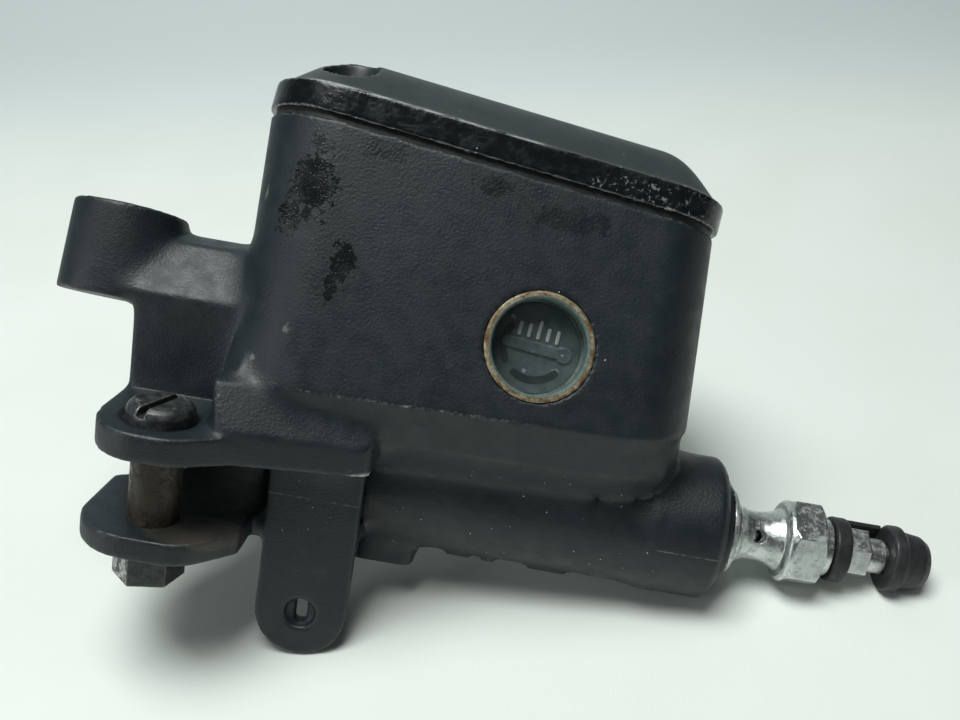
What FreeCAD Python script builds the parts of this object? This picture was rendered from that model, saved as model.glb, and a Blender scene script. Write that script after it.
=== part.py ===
import FreeCAD, Part
import math
import os
import re
import Sketcher

# Motorcycle front brake master cylinder with an integral fluid reservoir.
# Frame: X runs along the piston bore towards the hose port, Z runs up along the lever pivot,
# Y points back to the handlebar, and the origin is the centre of the bore at the port face.

DOC = FreeCAD.newDocument("BrakeMasterCylinder")
SHEET = DOC.addObject("Spreadsheet::Sheet", "Sizes")

# Driving dimensions: alias, millimetres or degrees, what it is.
SIZES = [
    ("lean", 18.0, "reservoir leans back from the bore plane, degrees"),
    ("yaw", 5.0, "reservoir turned about Z, degrees"),
    ("tilt", 7.0, "lid plane slopes along the bore, degrees"),
    ("gap", 0.3, "clear space between neighbouring moving parts"),
    ("barrel_rad", 12.2, "outside of the cylinder barrel"),
    ("barrel_small_rad", 11.7, "barrel at the clevis end, after its draft"),
    ("barrel_len", 62.0, "barrel from the port face to the piston end"),
    ("pad_low", 14.6, "underside of the pad below the open end of the bore"),
    ("port_boss_rad", 12.8, "thicker boss round the hose port"),
    ("port_boss_len", 13.0, "length of that boss"),
    ("bore_rad", 7.0, "piston bore"),
    ("bore_end", 13.0, "bore stops this far from the port face"),
    ("port_thread_rad", 5.0, "M10 hose port"),
    ("boot_bore_rad", 9.0, "counterbore for the dust boot"),
    ("boot_bore_len", 6.0, "depth of that counterbore"),
    ("tank_left", 87.6, "reservoir left wall"),
    ("tank_right", 10.8, "reservoir right wall"),
    ("tank_front", 21.2, "reservoir front wall"),
    ("tank_back", 18.0, "reservoir back wall"),
    ("tank_front_round", 13.0, "round of the two front corners"),
    ("tank_back_round", 12.0, "round of the two back corners"),
    ("tank_rim", 47.6, "height of the reservoir rim along its own upright"),
    ("tank_foot", 20.0, "height of the reservoir foot above the bore axis"),
    ("tank_floor", 17.0, "height of the inside floor above the bore axis"),
    ("wall", 3.2, "casting wall"),
    ("lid_over", 0.4, "lid stands out past the reservoir wall"),
    ("lid_band", 4.6, "height of the lid's side band"),
    ("lid_crown", 7.7, "height of the crown above the band"),
    ("lid_shoulder", 10.5, "how far the crown's shoulder runs in"),
    ("lid_step", 0.8, "crown set in from the band"),
    ("seal_thick", 1.0, "diaphragm rim"),
    ("glass_x", 39.0, "sight glass along the reservoir front"),
    ("glass_z", 26.8, "sight glass height on the reservoir front"),
    ("glass_rad", 8.9, "sight glass ring, outside"),
    ("glass_lip", 7.7, "sight glass ring, inside of its rim"),
    ("pivot_x", 94.8, "lever pivot along the bore"),
    ("pivot_y", 22.0, "lever pivot in front of the bore"),
    ("ear_rad", 9.0, "round of the upper ear"),
    ("ear_top", 12.2, "top of the upper ear"),
    ("ear_low", 7.5, "underside of the upper ear"),
    ("fork_top", 5.4, "top of the lower ear below the bore axis"),
    ("fork_low", 9.4, "underside of the lower ear below the bore axis"),
    ("bush_rad", 4.1, "pivot bush"),
    ("pin_rad", 3.0, "M6 pivot bolt"),
    ("head_rad", 5.4, "pivot bolt head"),
    ("head_tall", 3.2, "pivot bolt head"),
    ("slot_wide", 1.4, "screwdriver slot"),
    ("nut_flats", 10.0, "pivot nut across flats"),
    ("nut_tall", 6.0, "pivot nut"),
    ("boss_rad", 9.4, "mirror boss"),
    ("boss_tall", 15.4, "mirror boss"),
    ("boss_tilt", 3.0, "mirror boss leans along the bore, degrees"),
    ("mirror_thread_rad", 5.0, "M10 mirror thread"),
    ("bar_rad", 11.1, "22.2 mm handlebar"),
    ("bar_y", 28.0, "handlebar behind the bore"),
    ("bar_z", 5.0, "handlebar above the bore"),
    ("clamp_turn", 30.0, "clamp split turned about the handlebar, degrees"),
    ("clamp_wide", 22.0, "clamp along the handlebar"),
    ("clamp_left", 112.0, "left face of the clamp"),
    ("clamp_wall", 5.0, "metal round the handlebar"),
    ("clamp_bolt_out", 15.6, "clamp bolts from the handlebar axis"),
    ("tongue_front", 16.0, "front face of the lower tongue"),
    ("tongue_thick", 3.2, "lower tongue"),
    ("tongue_left", 78.0, "left edge of the lower tongue"),
    ("tongue_right", 62.2, "right edge of the lower tongue at its top"),
    ("tongue_drop", 30.0, "lowest point of the tongue below the bore axis"),
    ("piston_rad", 6.96, "piston, a running fit in the bore"),
    ("hex_flats", 13.8, "banjo bolt across flats"),
    ("seat_rad", 9.2, "raised seat on the port face"),
    ("seat_tall", 1.8, "raised seat on the port face"),
    ("washer_thick", 1.2, "crush washer"),
    ("screw_x", 83.0, "lid screws from the bore port face, one at each end"),
    ("screw_y", 12.9, "front lid screw in front of the bore"),
    ("screw_rad", 2.5, "M5 lid screw"),
    ("post_rad", 5.0, "posts that take the lid screws"),
]


def fill_sheet():
    for row, (alias, value, meaning) in enumerate(SIZES, start=1):
        SHEET.set("A%d" % row, meaning)
        SHEET.set("B%d" % row, str(value))
        SHEET.setAlias("B%d" % row, alias)
    DOC.recompute()


fill_sheet()
VALUE = {alias: value for alias, value, meaning in SIZES}

UPRIGHT = FreeCAD.Rotation(VALUE["yaw"], 0, -VALUE["lean"])
LEVEL = UPRIGHT.multiply(FreeCAD.Rotation(0, VALUE["tilt"], 0))
CLAMP_TURN = FreeCAD.Rotation(FreeCAD.Vector(1, 0, 0), VALUE["clamp_turn"])
AXIS_X = FreeCAD.Vector(1, 0, 0)
AXIS_Y = FreeCAD.Vector(0, 1, 0)
AXIS_Z = FreeCAD.Vector(0, 0, 1)
ORIGIN = FreeCAD.Vector(0, 0, 0)


def bound(text):
    """Turn a short size formula such as 'tank_left - wall' into a sheet expression."""
    return re.sub("[a-z_]+", lambda word: "Sizes." + word.group() if word.group() in VALUE else word.group(), text)


def amount(text):
    """The number that a size formula gives."""
    return float(SHEET.evalExpression(bound(text)))


def turned(rotation, x=0.0, y=0.0, z=0.0):
    """A placement that turns a piece and moves it to a point given in the turned frame."""
    return FreeCAD.Placement(rotation.multVec(FreeCAD.Vector(x, y, z)), rotation)


def plane_of(body, role):
    for feature in body.Origin.OriginFeatures:
        if feature.Role == role:
            return feature
    raise RuntimeError("no " + role)


def new_body(label):
    body = DOC.addObject("PartDesign::Body", label)
    body.Label = label
    return body


def new_sketch(body, name, role, offset="0"):
    sketch = body.newObject("Sketcher::SketchObject", name)
    sketch.AttachmentSupport = [(plane_of(body, role), "")]
    sketch.MapMode = "FlatFace"
    if offset != "0":
        sketch.AttachmentOffset = FreeCAD.Placement(FreeCAD.Vector(0, 0, amount(offset)), FreeCAD.Rotation())
        sketch.setExpression("AttachmentOffset.Base.z", bound(offset))
    return sketch


def pin_coordinate(sketch, kind, geometry, point, text):
    """Hold one coordinate of a sketch point at a size formula."""
    value = amount(text)
    if abs(value) < 1e-9:
        line = -2 if kind == "DistanceX" else -1
        sketch.addConstraint(Sketcher.Constraint("PointOnObject", geometry, point, line))
        return
    index = sketch.addConstraint(Sketcher.Constraint(kind, -1, 1, geometry, point, value))
    sketch.setExpression("Constraints[%d]" % index, bound(text))


def add_outline(sketch, corners):
    """A closed outline of straight lines through corners given as size formulas."""
    points = [FreeCAD.Vector(amount(x), amount(y), 0) for x, y in corners]
    first = sketch.GeometryCount
    count = len(points)
    for index in range(count):
        sketch.addGeometry(Part.LineSegment(points[index], points[(index + 1) % count]), False)
    for index in range(count):
        following = first + (index + 1) % count
        sketch.addConstraint(Sketcher.Constraint("Coincident", first + index, 2, following, 1))
    for index, (x, y) in enumerate(corners):
        pin_coordinate(sketch, "DistanceX", first + index, 1, x)
        pin_coordinate(sketch, "DistanceY", first + index, 1, y)


def add_circle(sketch, x, y, radius):
    centre = FreeCAD.Vector(amount(x), amount(y), 0)
    index = sketch.addGeometry(Part.Circle(centre, AXIS_Z, amount(radius)), False)
    pin_coordinate(sketch, "DistanceX", index, 3, x)
    pin_coordinate(sketch, "DistanceY", index, 3, y)
    rule = sketch.addConstraint(Sketcher.Constraint("Radius", index, amount(radius)))
    sketch.setExpression("Constraints[%d]" % rule, bound(radius))


def pad(body, sketch, length, name="Pad", reverse=False):
    feature = body.newObject("PartDesign::Pad", name)
    feature.Profile = sketch
    feature.Length = amount(length)
    feature.setExpression("Length", bound(length))
    feature.Reversed = reverse
    DOC.recompute()
    return feature


def pocket(body, sketch, length, name="Pocket", reverse=False):
    before = body.Shape.Volume
    feature = body.newObject("PartDesign::Pocket", name)
    feature.Profile = sketch
    feature.Length = amount(length)
    feature.setExpression("Length", bound(length))
    feature.Reversed = reverse
    DOC.recompute()
    if body.Shape.Volume > before - 1e-6:
        raise RuntimeError(body.Label + " " + name + " cut nothing")
    return feature


def spin(body, sketch, name="Revolution", axis="H_Axis"):
    feature = body.newObject("PartDesign::Revolution", name)
    feature.Profile = sketch
    feature.ReferenceAxis = (sketch, [axis])
    feature.Angle = 360
    DOC.recompute()
    return feature


def edges_where(shape, test):
    names = []
    for number, edge in enumerate(shape.Edges, start=1):
        middle = edge.valueAt((edge.FirstParameter + edge.LastParameter) / 2)
        if test(edge, middle):
            names.append("Edge%d" % number)
    return names


def upright(edge):
    """True for a straight edge along the piece's own Z."""
    if edge.Curve.TypeId != "Part::GeomLine":
        return False
    return abs(edge.tangentAt(edge.FirstParameter).z) > 0.999


def round_edges(body, base, names, radius, label="Fillet"):
    feature = body.newObject("PartDesign::Fillet", label)
    feature.Base = (base, names)
    feature.Radius = amount(radius)
    feature.setExpression("Radius", bound(radius))
    DOC.recompute()
    return feature


def bevel_edges(body, base, names, size, label="Chamfer"):
    feature = body.newObject("PartDesign::Chamfer", label)
    feature.Base = (base, names)
    feature.Size = amount(size)
    feature.setExpression("Size", bound(size))
    DOC.recompute()
    return feature


def turned_piece(label, profile, role="XZ_Plane", axis="H_Axis"):
    """A body of revolution about its own X (H_Axis) or upright (V_Axis)."""
    body = new_body(label)
    sketch = new_sketch(body, label + "_profile", role)
    add_outline(sketch, profile)
    spin(body, sketch, axis=axis)
    return body


def slab(label, corners, low, height, rounds=()):
    """An upright plate with an outline in the XY plane and rounded upright corners."""
    body = new_body(label)
    sketch = new_sketch(body, label + "_outline", "XY_Plane", low)
    add_outline(sketch, corners)
    base = pad(body, sketch, height)
    for step, (x, y, radius) in enumerate(rounds):
        target = FreeCAD.Vector(amount(x), amount(y), 0)

        def near(edge, middle):
            return upright(edge) and math.hypot(middle.x - target.x, middle.y - target.y) < 0.3

        base = round_edges(body, base, edges_where(body.Shape, near), radius, "Round%d" % step)
    return body


def fuse(label, pieces):
    feature = DOC.addObject("Part::MultiFuse", label)
    feature.Label = label
    feature.Shapes = pieces
    DOC.recompute()
    return feature


def cut(label, base, tool):
    feature = DOC.addObject("Part::Cut", label)
    feature.Label = label
    feature.Base = base
    feature.Tool = tool
    DOC.recompute()
    if feature.Shape.Volume > base.Shape.Volume - 1e-6:
        raise RuntimeError(label + " cut nothing")
    return feature


def cylinder(label, radius, height, placement):
    feature = DOC.addObject("Part::Cylinder", label)
    feature.Label = label
    feature.Radius = amount(radius)
    feature.Height = amount(height)
    feature.setExpression("Radius", bound(radius))
    feature.setExpression("Height", bound(height))
    feature.Placement = placement
    return feature


def box(label, length, width, height, placement):
    feature = DOC.addObject("Part::Box", label)
    feature.Label = label
    for side, text in (("Length", length), ("Width", width), ("Height", height)):
        setattr(feature, side, amount(text))
        feature.setExpression(side, bound(text))
    feature.Placement = placement
    return feature


def prism(label, flats, height, placement):
    """A hexagonal prism given its distance across flats."""
    feature = DOC.addObject("Part::Prism", label)
    feature.Label = label
    feature.Polygon = 6
    feature.Circumradius = amount(flats) / math.sqrt(3)
    feature.setExpression("Circumradius", "(" + bound(flats) + ") / sqrt(3)")
    feature.Height = amount(height)
    feature.setExpression("Height", bound(height))
    feature.Placement = placement
    return feature


# ---- main casting -------------------------------------------------------------------------

def casting_barrel():
    return turned_piece("casting_barrel", [
        ("-barrel_len - 1", "0"),
        ("-barrel_len - 1", "barrel_small_rad"),
        ("-port_boss_len", "barrel_rad"),
        ("-port_boss_len", "port_boss_rad"),
        ("-1.2", "port_boss_rad"),
        ("0", "port_boss_rad - 1.2"),
        ("0", "seat_rad"),
        ("seat_tall", "seat_rad - 0.3"),
        ("seat_tall", "0"),
    ])


def tank_block(label, inset, low, height):
    """The reservoir's outline, set in by a wall, as an upright block in the leaning frame."""
    left = "-tank_left + " + inset
    right = "-tank_right - " + inset
    front = "-tank_front + " + inset
    back = "tank_back - " + inset
    front_round = "tank_front_round - " + inset
    back_round = "tank_back_round - " + inset
    corners = [(left, front), (right, front), (right, back), (left, back)]
    block = slab(label, corners, low, height, [
        (left, front, front_round),
        (right, front, front_round + " - 2"),
        (right, back, back_round),
        (left, back, back_round),
    ])
    block.Placement = turned(UPRIGHT)
    return block


def casting_tank():
    """Reservoir walls: a leaning block cut level at the rim and along the bore at the foot."""
    block = tank_block("tank_block", "0", "4", "60")
    above = box("above_rim", "130", "110", "40", turned(LEVEL, -115, -55, VALUE["tank_rim"]))
    below = box("below_foot", "130", "110", "50", FreeCAD.Placement(
        FreeCAD.Vector(-115, -50, VALUE["tank_foot"] - 50), FreeCAD.Rotation()))
    return cut("casting_tank", block, fuse("tank_trim", [above, below]))


def ruled_loft(label, sections):
    """A solid through outlines that lie flat at their own heights, lowest or highest first."""
    body = new_body(label)
    sketches = []
    for number, (height, corners) in enumerate(sections):
        sketch = new_sketch(body, "%s_%d" % (label, number), "XY_Plane", height)
        add_outline(sketch, corners)
        sketches.append(sketch)
    loft = body.newObject("PartDesign::AdditiveLoft", label + "_loft")
    loft.Profile = sketches[0]
    loft.Sections = sketches[1:]
    loft.Ruled = True
    DOC.recompute()
    return body


def casting_fairing():
    """The hopper between the reservoir foot and the barrel."""
    return ruled_loft("casting_fairing", [
        ("tank_foot + 0.2", [
            ("-86", "-15"), ("-78", "-22.2"), ("-22", "-17.6"), ("-17.6", "-16.4"), ("-13.4", "-13.4"), ("-10.8", "-6.6"),
            ("-11.8", "19"), ("-86", "13")]),
        ("12.5", [
            ("-86", "-13"), ("-78", "-19.2"), ("-22", "-15.6"), ("-17.6", "-14.6"), ("-13.2", "-12.2"), ("-10.2", "-6"),
            ("-11", "13"), ("-86", "11")]),
        ("5.5", [
            ("-86", "-9"), ("-78", "-11.5"), ("-25", "-9.8"), ("-20", "-9.2"), ("-15", "-8.4"), ("-9.4", "-4"), ("-10", "8"),
            ("-86", "8")]),
    ])


def casting_cheek():
    """The flare from the reservoir's left front corner down to the shoulder."""
    return ruled_loft("casting_cheek", [
        ("33", [("-86", "2"), ("-86", "-2"), ("-85", "-8"), ("-82", "-11"), ("-79", "-12"), ("-79", "2")]),
        ("17", [
            ("-87", "2"), ("-87", "-17"), ("-86.2", "-21.6"), ("-84.4", "-23.6"), ("-79", "-20"), ("-79", "2")]),
    ])


def casting_shoulder():
    """The deep block over the lever gap; its top falls away towards the hose port."""
    block = slab("shoulder_block", [
        ("-85", "-26.7"),
        ("-barrel_len + 1", "-tank_front - 0.4"),
        ("-barrel_len + 1", "12"),
        ("-87", "12"),
        ("-87", "-22"),
    ], "ear_low", "tank_foot - ear_low", [("-barrel_len + 1", "-tank_front - 0.4", "2"), ("-85", "-26.7", "3")])
    slope = FreeCAD.Rotation(0, 22, 57)
    above = box("above_shoulder", "60", "60", "20", FreeCAD.Placement(FreeCAD.Vector(-93.2, -30.9, 9.6), slope))
    return cut("casting_shoulder", block, above)


def casting_upper_ear():
    front = "-pivot_y - ear_rad"
    left = "-pivot_x - ear_rad - 0.6"
    return slab("casting_upper_ear", [
        (left, "-6"),
        (left, front),
        ("-90.5", front),
        ("-83", "-26.6"),
        ("-80", "-24"),
        ("-80", "-6"),
    ], "ear_low", "ear_top - ear_low", [(left, front, "ear_rad - 0.1"), ("-90.5", front, "8")])


def casting_lower_ear():
    return slab("casting_lower_ear", [
        ("-106.6", "-9"),
        ("-106.6", "-30.2"),
        ("-87.5", "-30.2"),
        ("-80.2", "-22.5"),
        ("-80.2", "-15"),
        ("-barrel_len", "-15"),
        ("-barrel_len", "9"),
        ("-86", "9"),
        ("-100", "-4"),
    ], "-fork_low", "fork_low - fork_top", [
        ("-106.6", "-30.2", "10"), ("-87.5", "-30.2", "7"), ("-80.2", "-22.5", "3"), ("-106.6", "-9", "1.5")])


def casting_under_boss():
    """The small pad under the barrel beside the tongue."""
    return slab("casting_under_boss", [
        ("-barrel_len - 1", "-7"), ("-52.6", "-7"), ("-52.6", "7"), ("-barrel_len - 1", "7"),
    ], "-pad_low", "5", [("-52.6", "-7", "2"), ("-52.6", "7", "2")])


def casting_flash():
    """Short ragged ridges of flash left along the underside of the barrel."""
    ridges = []
    for number, (start, length, depth) in enumerate([(-47, 4.5, 12.2), (-40.5, 2.5, 12.4), (-32, 7, 12.3)]):
        corner = FreeCAD.Placement(FreeCAD.Vector(start, -4.2, -depth), FreeCAD.Rotation())
        ridges.append(box("casting_flash_%d" % number, str(length), "1.3", "2", corner))
    return ridges


def casting_rear_rib():
    """A rib behind the lever gap that ties the two ears together."""
    return slab("casting_rear_rib", [
        ("-84", "9"), ("-barrel_len", "9"), ("-barrel_len", "12.6"), ("-84", "12.6"),
    ], "-fork_low", "fork_low + ear_low + 2")


def casting_tongue():
    """The flat tongue that hangs below the barrel, with a dished hole near its round end."""
    body = new_body("casting_tongue")
    sketch = new_sketch(body, "tongue_outline", "XZ_Plane", "tongue_front - tongue_thick")
    add_outline(sketch, [
        ("-tongue_left", "ear_low + 1"),
        ("-tongue_left", "-tongue_drop"),
        ("-tongue_right", "-tongue_drop"),
        ("-tongue_right", "ear_low + 1"),
    ])
    plate = pad(body, sketch, "tongue_thick")
    low = -VALUE["tongue_drop"]

    def at_foot(edge, middle):
        return edge.Length < VALUE["tongue_thick"] + 0.1 and abs(middle.z - low) < 0.1

    round_edges(body, plate, edges_where(body.Shape, at_foot), "(tongue_left - tongue_right) / 2 - 0.1")
    hollow = new_sketch(body, "tongue_dish", "XZ_Plane", "tongue_front")
    add_circle(hollow, "-(tongue_left + tongue_right) / 2", "-tongue_drop + 8", "2.7")
    pocket(body, hollow, "1.2", "TongueDish")
    slot = new_sketch(body, "tongue_slot", "XZ_Plane", "tongue_front")
    middle_x = "-(tongue_left + tongue_right) / 2"
    add_outline(slot, [
        (middle_x + " - 1", "-tongue_drop + 5.8"),
        (middle_x + " + 1", "-tongue_drop + 5.8"),
        (middle_x + " + 1", "-tongue_drop + 10.2"),
        (middle_x + " - 1", "-tongue_drop + 10.2"),
    ])
    pocket(body, slot, "tongue_thick + 1", "TongueSlot")
    return body


def side_prism(label, corners, start, length):
    """A bar along X with its outline in the YZ plane."""
    body = new_body(label)
    sketch = new_sketch(body, label + "_outline", "YZ_Plane", start)
    add_outline(sketch, corners)
    pad(body, sketch, length)
    return body


def casting_web():
    """The wall from the upper ear to the mirror boss, with its sloping shoulder."""
    lower = side_prism("web_lower", [
        ("-13", "ear_low + 1"), ("-13", "29"), ("8", "29"), ("20", "20"), ("20", "8.5"),
    ], "-103.7", "23")
    upper = side_prism("web_upper", [
        ("-13", "28.2"), ("-13", "29.4"), ("-5.5", "36.8"), ("2", "36.8"), ("9", "25"),
    ], "-113", "31")
    return [lower, upper]


def casting_mirror_boss():
    return cylinder("casting_mirror_boss", "boss_rad", "boss_tall", mirror_frame())


def mirror_frame():
    rotation = UPRIGHT.multiply(FreeCAD.Rotation(0, VALUE["boss_tilt"], 0))
    return FreeCAD.Placement(FreeCAD.Vector(-109.9, -5, 25.1), rotation)


def clamp_frame():
    """Own X along the handlebar, own Y square to the split, towards the cap."""
    place = FreeCAD.Vector(-VALUE["clamp_left"], VALUE["bar_y"], VALUE["bar_z"])
    return FreeCAD.Placement(place, CLAMP_TURN)


def clamp_half(label, sign):
    """Half of the handlebar clamp; sign is -1 for the casting's half and 1 for the cap."""
    lug_deep = "clamp_wall + 3"
    shift = VALUE["gap"] if sign > 0 else -VALUE["gap"] - amount(lug_deep)
    lugs = box(label + "_lugs", "clamp_wide", lug_deep, "2 * clamp_bolt_out + 12", clamp_frame().multiply(
        FreeCAD.Placement(FreeCAD.Vector(0, shift, -VALUE["clamp_bolt_out"] - 6), FreeCAD.Rotation())))
    round_bar = cylinder(label + "_round", "bar_rad + clamp_wall", "clamp_wide",
                         clamp_frame().multiply(FreeCAD.Placement(ORIGIN, FreeCAD.Rotation(AXIS_Y, 90))))
    reach = VALUE["bar_rad"] + VALUE["clamp_wall"] + 2
    near_side = VALUE["gap"] if sign > 0 else -VALUE["gap"] - reach
    side = box(label + "_side", "clamp_wide", "bar_rad + clamp_wall + 2", "2 * (bar_rad + clamp_wall + 2)",
               clamp_frame().multiply(FreeCAD.Placement(FreeCAD.Vector(0, near_side, -reach), FreeCAD.Rotation())))
    arch = DOC.addObject("Part::Common", label + "_arch")
    arch.Base = round_bar
    arch.Tool = side
    DOC.recompute()
    return [lugs, arch]


def screw_spots():
    """The two lid screws, in the level frame: front left and back right."""
    return [(-VALUE["screw_x"], -VALUE["screw_y"]), (-28.0, 9.4)]


def casting_hollow():
    """Space inside the reservoir, flat-floored along the bore, clear of the screw posts."""
    cavity = tank_block("cavity_block", "wall", "3", "70")
    floor = box("cavity_floor", "130", "130", "60", FreeCAD.Placement(
        FreeCAD.Vector(-115, -65, VALUE["tank_floor"] - 60), FreeCAD.Rotation()))
    keep = [floor]
    for number, (x, y) in enumerate(screw_spots()):
        keep.append(cylinder("screw_post_%d" % number, "post_rad", "60", turned(LEVEL, x, y, VALUE["tank_rim"] - 60)))
    keep.append(cylinder("window_boss", "glass_rad + 2", "7.5", window_frame(-7.5)))
    return cut("casting_hollow", cavity, fuse("cavity_keep", keep))


def window_frame(outward=0.0):
    """Own Z points out of the reservoir's front wall at the sight glass."""
    face = FreeCAD.Vector(-VALUE["glass_x"], -VALUE["tank_front"] - outward, VALUE["glass_z"])
    rotation = UPRIGHT.multiply(FreeCAD.Rotation(AXIS_X, 90))
    return FreeCAD.Placement(UPRIGHT.multVec(face), rotation)


def casting_bores():
    """Everything bored, drilled or counterbored in the casting."""
    tools = [turned_piece("bore_tool", [
        ("-barrel_len - 6", "0"),
        ("-barrel_len - 6", "boot_bore_rad"),
        ("-barrel_len - 1 + boot_bore_len", "boot_bore_rad"),
        ("-barrel_len - 1 + boot_bore_len", "bore_rad"),
        ("-bore_end", "bore_rad"),
        ("-bore_end", "port_thread_rad + 0.02"),
        ("seat_tall + 1", "port_thread_rad + 0.02"),
        ("seat_tall + 1", "0"),
    ])]
    tools.append(turned_piece("circlip_groove", [
        ("-59.3", "boot_bore_rad - 1"),
        ("-59.3", "boot_bore_rad + 0.7"),
        ("-57.9", "boot_bore_rad + 0.7"),
        ("-57.9", "boot_bore_rad - 1"),
    ]))
    tools.append(cylinder("window_bore", "glass_rad + 0.02", "8", window_frame(-6.0)))
    tools.append(cylinder("window_way", "glass_rad - 2.7", "14", window_frame(-9.0)))
    down = FreeCAD.Rotation()
    pivot = FreeCAD.Vector(-VALUE["pivot_x"], -VALUE["pivot_y"], -20)
    tools.append(cylinder("pivot_hole", "pin_rad + 0.02", "50", FreeCAD.Placement(pivot, down)))
    seat = FreeCAD.Vector(-VALUE["pivot_x"], -VALUE["pivot_y"], VALUE["ear_top"] - 0.6)
    tools.append(cylinder("head_seat", "head_rad + 0.8", "8", FreeCAD.Placement(seat, down)))
    mirror = mirror_frame().multiply(FreeCAD.Placement(FreeCAD.Vector(0, 0, VALUE["boss_tall"] - 13), down))
    tools.append(cylinder("mirror_hole", "mirror_thread_rad", "15", mirror))
    bar = clamp_frame().multiply(FreeCAD.Placement(FreeCAD.Vector(-5, 0, 0), FreeCAD.Rotation(AXIS_Y, 90)))
    tools.append(cylinder("bar_space", "bar_rad", "clamp_wide + 5", bar))
    past_clamp = bar.multiply(FreeCAD.Placement(FreeCAD.Vector(0, 0, 5 + VALUE["clamp_wide"]), down))
    tools.append(cylinder("bar_clearance", "bar_rad + 1.5", "60", past_clamp))
    for number, way in enumerate((-1, 1)):
        tools.append(cylinder("clamp_thread_%d" % number, "pin_rad + 0.02", "16", clamp_bolt_frame(way, -13.0)))
    for number, (x, y) in enumerate(screw_spots()):
        tools.append(cylinder("lid_thread_%d" % number, "screw_rad + 0.02", "16",
                              turned(LEVEL, x, y, VALUE["tank_rim"] - 13)))
    for number, (x, radius) in enumerate((("-42", "1.5"), ("-28.6", "0.6"))):
        port = FreeCAD.Vector(amount(x), 0, 5)
        tools.append(cylinder("fluid_port_%d" % number, radius, "14", FreeCAD.Placement(port, down)))
    return tools


def clamp_bolt_frame(way, along):
    """Own Z along a clamp bolt, towards its head; way picks the upper or lower bolt."""
    place = FreeCAD.Vector(VALUE["clamp_wide"] / 2, along, way * VALUE["clamp_bolt_out"])
    return clamp_frame().multiply(FreeCAD.Placement(place, FreeCAD.Rotation(AXIS_X, -90)))


def body_casting():
    solids = [casting_barrel(), casting_tank(), casting_fairing(), casting_shoulder(), casting_cheek()]
    solids += [casting_upper_ear(), casting_lower_ear(), casting_under_boss(), casting_rear_rib(), casting_tongue()]
    solids += casting_flash()
    solids += casting_web()
    solids.append(casting_mirror_boss())
    solids += clamp_half("casting_clamp", -1)
    rough = fuse("casting_rough", solids)
    cavity = fuse("casting_tools", [casting_hollow()] + casting_bores())
    return cut("body_casting", rough, cavity)


# ---- reservoir fittings -------------------------------------------------------------------

LID_LEFT = "-(tank_left + tank_rim * sin(tilt * 1deg)) / cos(tilt * 1deg) - lid_over"
LID_RIGHT = "-(tank_right + tank_rim * sin(tilt * 1deg)) / cos(tilt * 1deg) + lid_over"
LID_FRONT = "-tank_front - lid_over"
LID_BACK = "tank_back + lid_over"


def lid_corners(inset):
    left = LID_LEFT + " + (" + inset + ")"
    right = LID_RIGHT + " - (" + inset + ")"
    front = LID_FRONT + " + (" + inset + ")"
    back = LID_BACK + " - (" + inset + ")"
    return [(left, front), (right, front), (right, back), (left, back)]


def rounded_outline(sketch, corners, rounds):
    """A closed outline of lines and corner arcs; every joint is held at its place."""
    count = len(corners)
    points = [FreeCAD.Vector(amount(x), amount(y), 0) for x, y in corners]
    joints = []
    for index in range(count):
        here = points[index]
        size = amount(rounds[index])
        before = (points[index - 1] - here).normalize()
        after = (points[(index + 1) % count] - here).normalize()
        joints.append((before, after, size))
    lines = []
    for index in range(count):
        following = (index + 1) % count
        start = points[index] + joints[index][1] * joints[index][2]
        end = points[following] + joints[following][0] * joints[following][2]
        lines.append(sketch.addGeometry(Part.LineSegment(start, end), False))
    for index in range(count):
        before, after, size = joints[index]
        here = points[index]
        start = here + before * size
        end = here + after * size
        middle = here + (before + after) * size * (1 - math.sqrt(0.5))
        arc = sketch.addGeometry(Part.Arc(start, middle, end), False)
        into, out_of = (1, 2) if (sketch.getPoint(arc, 1) - start).Length < 1e-6 else (2, 1)
        sketch.addConstraint(Sketcher.Constraint("Coincident", lines[index - 1], 2, arc, into))
        sketch.addConstraint(Sketcher.Constraint("Coincident", lines[index], 1, arc, out_of))
        rule = sketch.addConstraint(Sketcher.Constraint("Radius", arc, size))
        sketch.setExpression("Constraints[%d]" % rule, bound(rounds[index]))
        x, y = corners[index]
        for point, way in ((into, before), (out_of, after)):
            pin_coordinate(sketch, "DistanceX", arc, point, "%s + %d * (%s)" % (x, round(way.x), rounds[index]))
            pin_coordinate(sketch, "DistanceY", arc, point, "%s + %d * (%s)" % (y, round(way.y), rounds[index]))


def lid_rounds(inset):
    corners = lid_corners(inset)
    rounds = ["tank_front_round", "tank_front_round - 2", "tank_back_round", "tank_back_round"]
    return [(x, y, "max(%s - (%s); 1.5)" % (size, inset)) for (x, y), size in zip(corners, rounds)]


# The crown's shoulder from its foot to the flat top: share of the run in, share of the rise.
CROWN_SHOULDER = [(0, 0), (0.3, 0.37), (0.65, 0.76), (1, 1)]


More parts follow.
